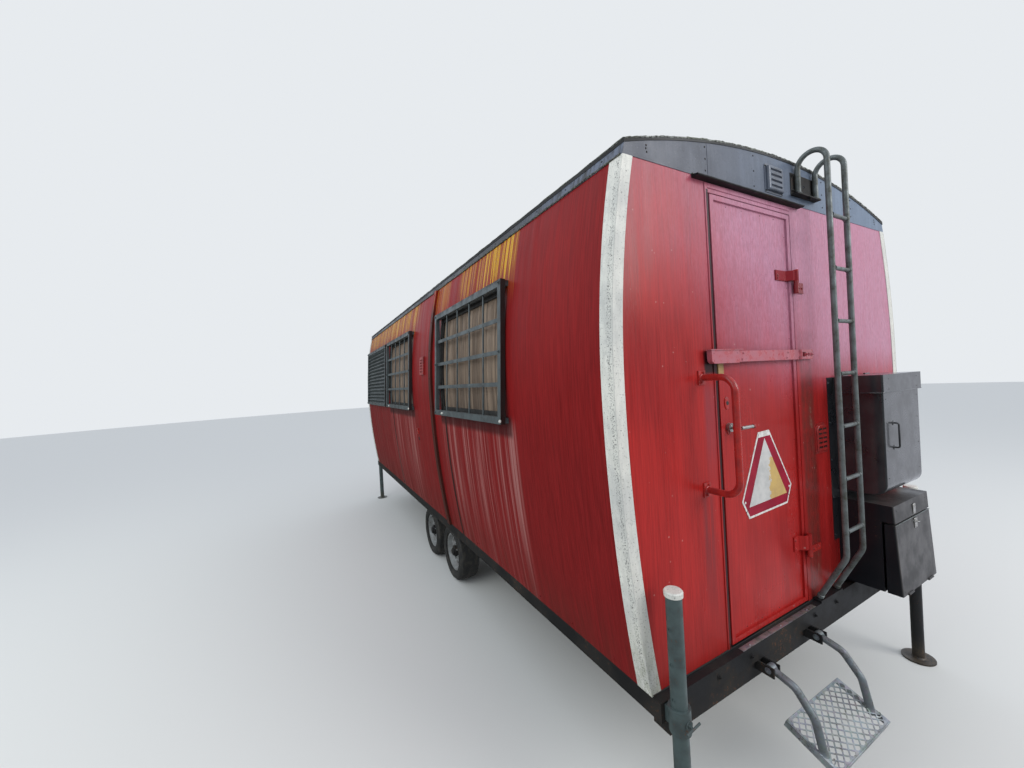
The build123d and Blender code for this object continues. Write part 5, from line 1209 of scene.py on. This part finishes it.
legs = {"x": 1.100, "out": 0.088, "top": 1.090, "clampZ": 0.6225, "holes": 7, "firstHole": 0.18,
        "holePitch": 0.13}
legCaps = bmesh.new()
legParts = bmesh.new()
for sign in (-1, 1):
    for yFace, out in bothEnds:
        place = Vector((sign * legs["x"], yFace + out * legs["out"], 0))
        top = place + Vector((0, 0, legs["top"]))
        addLathe(legCaps, top, (0, 0, 1),
                 [(0.0304, -0.014), (0.0345, -0.012), (0.0350, 0.004), (0.031, 0.009)], 24)
        for i in range(legs["holes"]):
            z = legs["firstHole"] + i * legs["holePitch"]
            if abs(z - legs["clampZ"]) > 0.07:
                addLathe(legParts, place + Vector((sign * 0.0298, 0, z)), (sign, 0, 0),
                         [(0.0075, 0.0), (0.0075, 0.0012), (0.0055, 0.0014), (0.0053, 0.0)], 14)
        clamp = place + Vector((0, out * 0.040, legs["clampZ"]))
        addBolt(legParts, clamp, (0, out, 0), 0.010)
        addTube(legParts, [clamp + Vector((-0.035, out * 0.018, -0.006)),
                           clamp + Vector((0.035, out * 0.018, 0.006))], 0.0045, 8)
        addLathe(legParts, place + Vector((0, 0, 0.008)), (0, 0, 1),
                 [(0.037, 0.0), (0.034, 0.004), (0.0305, 0.007)], 24)
makePiece("leg_caps", legCaps, "white")
makePiece("leg_fittings", legParts, "leg")
print("sill, step and leg fittings made")


# window grilles: corner bolts, a dot of weld where the bars cross, rubber around the openings

windows = {"rows": ((0.895, 2.045), (2.995, 4.145)), "foot": 1.66, "top": 2.48, "margin": 0.035,
           "bar": 0.040, "depth": 0.030, "gap": 0.003, "rods": 4, "flats": 3, "openFoot": 1.69,
           "openTop": 2.45, "rubberInset": 0.002, "rubberSteps": 8}
lean = math.atan2(sideX(windows["foot"]) - sideX(windows["top"]), windows["top"] - windows["foot"])
bulge = (windows["top"] - windows["foot"]) ** 2 / (8 * upperRadius)
panelNormal = Vector((math.cos(lean), 0, math.sin(lean)))


def onGrille(sign, along, z, out):
    # a place on the flat grille, out metres from its back plane
    share = (z - windows["foot"]) / (windows["top"] - windows["foot"])
    x = sideX(windows["foot"]) + share * (sideX(windows["top"]) - sideX(windows["foot"]))
    place = Vector((x, yRear + along, z)) + panelNormal * (bulge + windows["gap"] + out)
    return Vector((sign * place.x, place.y, place.z))


def grilleAxis(sign):
    return Vector((sign * panelNormal.x, 0, panelNormal.z))


for sign, label in bothSides:
    dots = bmesh.new()
    for start, end in windows["rows"]:
        a, b = start - windows["margin"], end + windows["margin"]
        clear = (b - a - 2 * windows["bar"], windows["top"] - windows["foot"] - 2 * windows["bar"])
        for i in range(windows["rods"]):
            along = a + windows["bar"] + clear[0] * (i + 1) / (windows["rods"] + 1)
            for j in range(windows["flats"]):
                z = windows["foot"] + windows["bar"] + clear[1] * (j + 1) / (windows["flats"] + 1)
                addLathe(dots, onGrille(sign, along, z, 0.018), grilleAxis(sign),
                         [(0.011, -0.001), (0.0085, 0.002), (0.005, 0.0035)], 10)
        for along in (a + 0.02, b - 0.02):
            for z in (windows["foot"] + 0.02, (windows["foot"] + windows["top"]) / 2, windows["top"] - 0.02):
                addBolt(dots, onGrille(sign, along, z, windows["depth"]), grilleAxis(sign), 0.007)
    makePiece("grille_fittings_" + label, dots, "grille")
    caps = bmesh.new()
    for start, end in windows["rows"]:
        z = windows["foot"] + 0.018
        for along, out in ((end - 0.16, windows["depth"]), (start - 0.030, windows["depth"])):
            addLathe(caps, onGrille(sign, along, z, out), grilleAxis(sign),
                     [(0.0095, -0.001), (0.0095, 0.004), (0.007, 0.008), (0.003, 0.010)], 14)
    makePiece("grille_pin_caps_" + label, caps, "white")
    rubbers = bmesh.new()
    for start, end in windows["rows"]:
        corners = []
        inset, count = windows["rubberInset"], windows["rubberSteps"]
        for along, foot, top in ((start + inset, windows["openFoot"], windows["openTop"]),
                                 (end - inset, windows["openTop"], windows["openFoot"])):
            corners += [onSide(sign, along, foot + (top - foot) * i / count, -0.004) for i in range(count + 1)]
        addTube(rubbers, corners + corners[:1], 0.006, 7)
    makePiece("window_rubbers_" + label, rubbers, "rubber")

louvre = {"start": 4.26, "end": 5.76}
louvreBolts = bmesh.new()
for along in (louvre["start"] + 0.02, (louvre["start"] + louvre["end"]) / 2, louvre["end"] - 0.02):
    for z in (windows["foot"] + 0.02, windows["top"] - 0.02):
        addBolt(louvreBolts, onGrille(-1, along, z, windows["depth"]), grilleAxis(-1), 0.007)
makePiece("louvre_bolts", louvreBolts, "grille")
print("window grille fittings made")


# sides: screws in the battens and along the foot, side vent louvres, the latch and the plug on the left

batten = {"along": 2.290, "screws": 9, "pitch": 0.245}
sideFoot = {"start": 0.2, "screws": 20, "pitch": 0.295}
sideVent = {"start": 2.505, "width": 0.130, "foot": 2.010, "height": 0.168, "depth": 0.014, "slots": 5}
sideLatch = {"along": 2.88, "z": 1.45, "drop": 0.075}
for sign, label in bothSides:
    screws = bmesh.new()
    for i in range(batten["screws"]):
        z = wallFoot + 0.08 + i * batten["pitch"]
        addScrew(screws, onSide(sign, batten["along"], z, 0.020), outwards(sign, z), 0.005)
    z = wallFoot + 0.03
    for i in range(sideFoot["screws"]):
        addScrew(screws, onSide(sign, sideFoot["start"] + i * sideFoot["pitch"], z), outwards(sign, z), 0.0045)
    makePiece("side_screws_" + label, screws, "redSide")
    blades = bmesh.new()
    pitch = sideVent["height"] * 0.8 / sideVent["slots"]
    for i in range(sideVent["slots"]):
        z = sideVent["foot"] + sideVent["height"] * 0.1 + pitch * (i + 0.5)
        place = onSide(sign, sideVent["start"] + sideVent["width"] / 2, z, 0.009)
        tilt = Matrix.Translation(place) @ Matrix.Rotation(math.radians(sign * 35), 4, "Y")
        addBlock(blades, (-0.006, -0.045, -0.0008), (0.006, 0.045, 0.0008), 0.0003, 1, tilt)
    for along in (sideVent["start"] + 0.009, sideVent["start"] + sideVent["width"] - 0.009):
        for z in (sideVent["foot"] + 0.010, sideVent["foot"] + sideVent["height"] - 0.010):
            addScrew(blades, onSide(sign, along, z, sideVent["depth"]), outwards(sign, z), 0.0035)
    makePiece("side_vent_blades_" + label, blades, "vent")
latch = bmesh.new()
plug = bmesh.new()
for z, size in ((sideLatch["z"], (0.006, 0.022, 0.030)), (sideLatch["z"] + 0.026, (0.011, 0.026, 0.004))):
    turn = Matrix.Translation(onSide(-1, sideLatch["along"], z)) @ (
        outwards(-1, z).to_track_quat("X", "Z").to_matrix().to_4x4())
    addBlock(latch, (-0.001, -size[1], -size[2]), size, 0.0012, 2, turn)
z = sideLatch["z"] - sideLatch["drop"]
addLathe(plug, onSide(-1, sideLatch["along"], z), outwards(-1, z),
         [(0.019, -0.001), (0.018, 0.002), (0.012, 0.003), (0.010, 0.0005)], 18)
makePiece("side_latch", latch, "redSteel")
makePiece("side_plug", plug, "rubber")
print("side fittings made")


# wheels: tread blocks, sidewall rings, nuts, hub caps and valves

wheel = {"radius": 0.263, "width": 0.195, "x": 0.950, "blocks": 44, "slant": 14, "nuts": 6,
         "nutCircle": 0.068, "nutFace": 0.0506}
treadRows = ((-0.062, 0.024, 0.0), (-0.022, 0.030, 0.5), (0.022, 0.030, 0.0), (0.062, 0.024, 0.5))


def treadRow(mesh, middle, shift, width, phase):
    # a ring of slanted blocks, shift metres from the middle of the tyre, turned on by phase blocks
    for i in range(wheel["blocks"]):
        angle = 2 * math.pi * (i + phase) / wheel["blocks"]
        radius = wheel["radius"] - 0.0035 - abs(shift) * 0.045
        turn = Matrix.Translation(middle) @ Matrix.Rotation(angle, 4, "X")
        arc = math.pi * radius / wheel["blocks"] * 0.78
        slant = math.radians(wheel["slant"] if phase else -wheel["slant"])
        lean = Matrix.Translation((shift, 0, radius)) @ Matrix.Rotation(slant, 4, "Z")
        addBlock(mesh, (-width / 2, -arc, -0.004), (width / 2, arc, 0.0050), 0.0012, 1, turn @ lean)


def sidewall(mesh, middle):
    # raised rings on the sidewall, spun around the wheel's axis
    half = wheel["width"] / 2
    rings = ((0.186, half * 0.955), (0.215, half * 0.992), (0.238, half * 0.965))
    for side in (-1, 1):
        for radius, reach in rings:
            addLathe(mesh, middle, (side, 0, 0),
                     [(radius - 0.004, reach - 0.003), (radius - 0.0025, reach + 0.0015),
                      (radius + 0.0025, reach + 0.0015), (radius + 0.004, reach - 0.003)], 48, True)


for name in nodes:
    if not name.startswith("tyre_"):
        continue
    low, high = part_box(name)
    middle = (Vector(low) + Vector(high)) / 2
    sign = 1 if middle.x > 0 else -1
    label = name[len("tyre_"):]
    tread = bmesh.new()
    for shift, width, phase in treadRows:
        treadRow(tread, middle, shift, width, phase)
    sidewall(tread, middle)
    makePiece("tread_" + label, tread, "tyre", "wheel_" + label)
    fittings = bmesh.new()
    outside = Vector((sign, 0, 0))
    for i in range(wheel["nuts"]):
        angle = 2 * math.pi * (i + 0.5) / wheel["nuts"]
        place = middle + Vector((sign * wheel["nutFace"], wheel["nutCircle"] * math.cos(angle),
                                 wheel["nutCircle"] * math.sin(angle)))
        for foot, head, height, count in ((0.0125, 0.0125, 0.002, 16), (0.0095, 0.0085, 0.014, 6),
                                          (0.0050, 0.0042, 0.020, 10)):
            addCone(fittings, place, outside, foot, head, height, count)
    valve = [middle + Vector((sign * x, y, 0.0)) for x, y in ((0.030, 0.140), (0.062, 0.136), (0.072, 0.134))]
    addTube(fittings, valve, [0.0042, 0.0042, 0.0034], 8)
    makePiece("wheel_fittings_" + label, fittings, "rim", "wheel_" + label)

hubs = bmesh.new()
for name in ("tyre_rear_left", "tyre_front_left"):
    low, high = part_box(name)
    axleY = (low.y + high.y) / 2
    for sign in (-1, 1):
        end = Vector((sign * (wheel["x"] + 0.068), axleY, wheel["radius"]))
        addLathe(hubs, end, (sign, 0, 0),
                 [(0.050, -0.004), (0.050, 0.002), (0.046, 0.005), (0.036, 0.006), (0.034, 0.018),
                  (0.028, 0.023)], 28)
        for x in (0.565, 0.635):
            for dy in (-0.050, 0.050):
                addBolt(hubs, (sign * x, axleY + 0.150 + dy, 0.430), (0, 0, -1), 0.0065)
makePiece("hub_caps_and_seat_bolts", hubs, "chassis")
print("wheel fittings made")


# drawbar: bolts of the cross plate and the eye's flange, weld beads, collars, pin and grip of the jack

drawbarLow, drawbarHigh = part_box("drawbar")
eyeLow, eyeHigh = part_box("tow_eye")
jack = {"y": yFront + 0.720, "top": 0.880, "collar": 0.392, "pin": 0.300, "grip": (0.150, 0.930)}
barBolts = bmesh.new()
for x in (-0.20, -0.10, 0.10, 0.20):
    for z in (drawbarLow.z + 0.035, drawbarHigh.z - 0.035):
        addBolt(barBolts, (x, yFront + 0.400, z), (0, 1, 0), 0.008)
for x in (-0.033, 0.033):
    for z in (drawbarLow.z + 0.018, drawbarHigh.z - 0.018):
        addBolt(barBolts, (x, eyeLow.y + 0.014, z), (0, 1, 0), 0.0065)
for x in (-0.150, 0.150):
    for dy in (-0.040, 0.040):
        addBolt(barBolts, (x, jack["y"] + dy, drawbarHigh.z + 0.012), (0, 0, 1), 0.008)
for sign in (-1, 1):
    for z in (drawbarLow.z, drawbarHigh.z):
        addTube(barBolts, [(sign * 0.316, yFront + 0.330, z), (sign * 0.280, yFront + 0.400, z)], 0.004, 7)
makePiece("drawbar_bolts", barBolts, "chassis")
jackTrim = bmesh.new()
addLathe(jackTrim, (0, jack["y"], jack["top"]), (0, 0, 1),
         [(0.036, -0.012), (0.038, -0.010), (0.038, 0.000), (0.024, 0.008), (0.013, 0.010)], 28)
addLathe(jackTrim, (0, jack["y"], jack["collar"]), (0, 0, 1),
         [(0.0345, -0.016), (0.0370, -0.014), (0.0370, 0.010), (0.0355, 0.012)], 28)
addBlock(jackTrim, (-0.008, jack["y"] + 0.028, 0.470), (0.008, jack["y"] + 0.042, 0.860), 0.002)
addTube(jackTrim, [(-0.048, jack["y"], jack["pin"]), (0.048, jack["y"], jack["pin"])], 0.007, 10)
addTube(jackTrim, [(0.048, jack["y"], jack["pin"]), (0.054, jack["y"] + 0.002, jack["pin"] - 0.008),
                   (0.052, jack["y"] + 0.004, jack["pin"] - 0.028)], 0.0032, 7)
makePiece("jack_collars", jackTrim, "zinc")
jackGrip = bmesh.new()
addLathe(jackGrip, (jack["grip"][0], jack["y"], jack["grip"][1]), (0, 0, 1),
         [(0.0092, 0.0), (0.0135, 0.002), (0.0145, 0.012), (0.0125, 0.040), (0.0145, 0.068), (0.012, 0.082)],
         22)
makePiece("jack_grip", jackGrip, "rubber")
print("drawbar fittings made")


# under the floor: bolts at the sills and weld beads at the chassis rails on each cross member

underBolts = bmesh.new()
memberLow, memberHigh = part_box("cross_members")
for place in (0.5, 1.3, 2.1, 2.7, 3.5, 4.3, 5.1, 5.7):
    for x in (-1.05, -0.60, 0.60, 1.05):
        if abs(x) > 1:
            addBolt(underBolts, (x, yRear + place, memberLow.z), (0, 0, -1), 0.008)
        else:
            addTube(underBolts, [(x + side * 0.032, yRear + place - 0.031, memberLow.z + 0.001)
                                 for side in (-1, 1)], 0.004, 6)
makePiece("under_bolts", underBolts, "chassis")
print("detail pieces made")


# stage: pale floor, soft sky and two soft lamps

ground = bmesh.new()
bmesh.ops.create_circle(ground, cap_ends=True, segments=64, radius=40,
                        matrix=Matrix.Translation((0, 0, -0.001)))
floorData = bpy.data.meshes.new("studio_floor")
ground.to_mesh(floorData)
ground.free()
floorPiece = bpy.data.objects.new("studio_floor", floorData)
bpy.context.scene.collection.objects.link(floorPiece)
pale = bpy.data.materials.new("pale_floor")
pale.use_nodes = True
pale.node_tree.nodes["Principled BSDF"].inputs["Base Color"].default_value = (0.62, 0.62, 0.60, 1)
pale.node_tree.nodes["Principled BSDF"].inputs["Roughness"].default_value = 0.9
floorData.materials.append(pale)
floorPiece.visible_glossy = False

world = bpy.data.worlds.new("soft_sky")
bpy.context.scene.world = world
world.use_nodes = True
sky = world.node_tree
background = sky.nodes["Background"]
facing = sky.nodes.new("ShaderNodeTexCoord")
heights = sky.nodes.new("ShaderNodeSeparateXYZ")
sky.links.new(facing.outputs["Generated"], heights.inputs[0])
ramp = sky.nodes.new("ShaderNodeValToRGB")
shades = ramp.color_ramp.elements
shades[0].color = (0.12, 0.13, 0.12, 1)
shades[1].color = (0.95, 1.0, 1.08, 1)
for position, colour in ((0.49, (0.14, 0.15, 0.14, 1)), (0.53, (0.30, 0.32, 0.33, 1)),
                         (0.64, (0.80, 0.87, 0.98, 1))):
    shades.new(position).color = colour
half = sky.nodes.new("ShaderNodeMapRange")
half.inputs["From Min"].default_value = -1
sky.links.new(heights.outputs[2], half.inputs[0])
sky.links.new(half.outputs[0], ramp.inputs[0])
rays = sky.nodes.new("ShaderNodeLightPath")
choose = sky.nodes.new("ShaderNodeMix")
choose.data_type = "RGBA"
sky.links.new(rays.outputs["Is Camera Ray"], choose.inputs[0])
# the open side to the right stays bright down to the ground
opening = sky.nodes.new("ShaderNodeMapRange")
opening.inputs["From Min"].default_value = 0.35
opening.inputs["From Max"].default_value = 0.9
sky.links.new(heights.outputs[0], opening.inputs[0])
brighten = sky.nodes.new("ShaderNodeMix")
brighten.data_type = "RGBA"
brighten.blend_type = "LIGHTEN"
sky.links.new(opening.outputs[0], brighten.inputs[0])
sky.links.new(ramp.outputs[0], brighten.inputs[6])
brighten.inputs[7].default_value = (0.66, 0.69, 0.76, 1)
sky.links.new(brighten.outputs[2], choose.inputs[6])
choose.inputs[7].default_value = (0.80, 0.83, 0.86, 1)
sky.links.new(choose.outputs[2], background.inputs["Color"])
background.inputs["Strength"].default_value = 1.0


def softLight(name, place, target, size, power, colour):
    data = bpy.data.lights.new(name, "AREA")
    data.shape = "DISK"
    data.size = size
    data.energy = power
    data.color = colour
    light = bpy.data.objects.new(name, data)
    light.location = place
    light.rotation_euler = (Vector(target) - Vector(place)).to_track_quat("-Z", "Y").to_euler()
    bpy.context.scene.collection.objects.link(light)
    light.visible_camera = False


softLight("field_side", (3.5, yRear - 6.5, 5.5), (0, yRear, 1.5), 5.0, 420, (1.0, 0.99, 0.97))
softLight("forest_side", (-6.5, yRear + 1.5, 5.0), (-1.2, yRear + 3, 1.6), 6.0, 150, (0.95, 1.0, 0.97))
print("stage set")
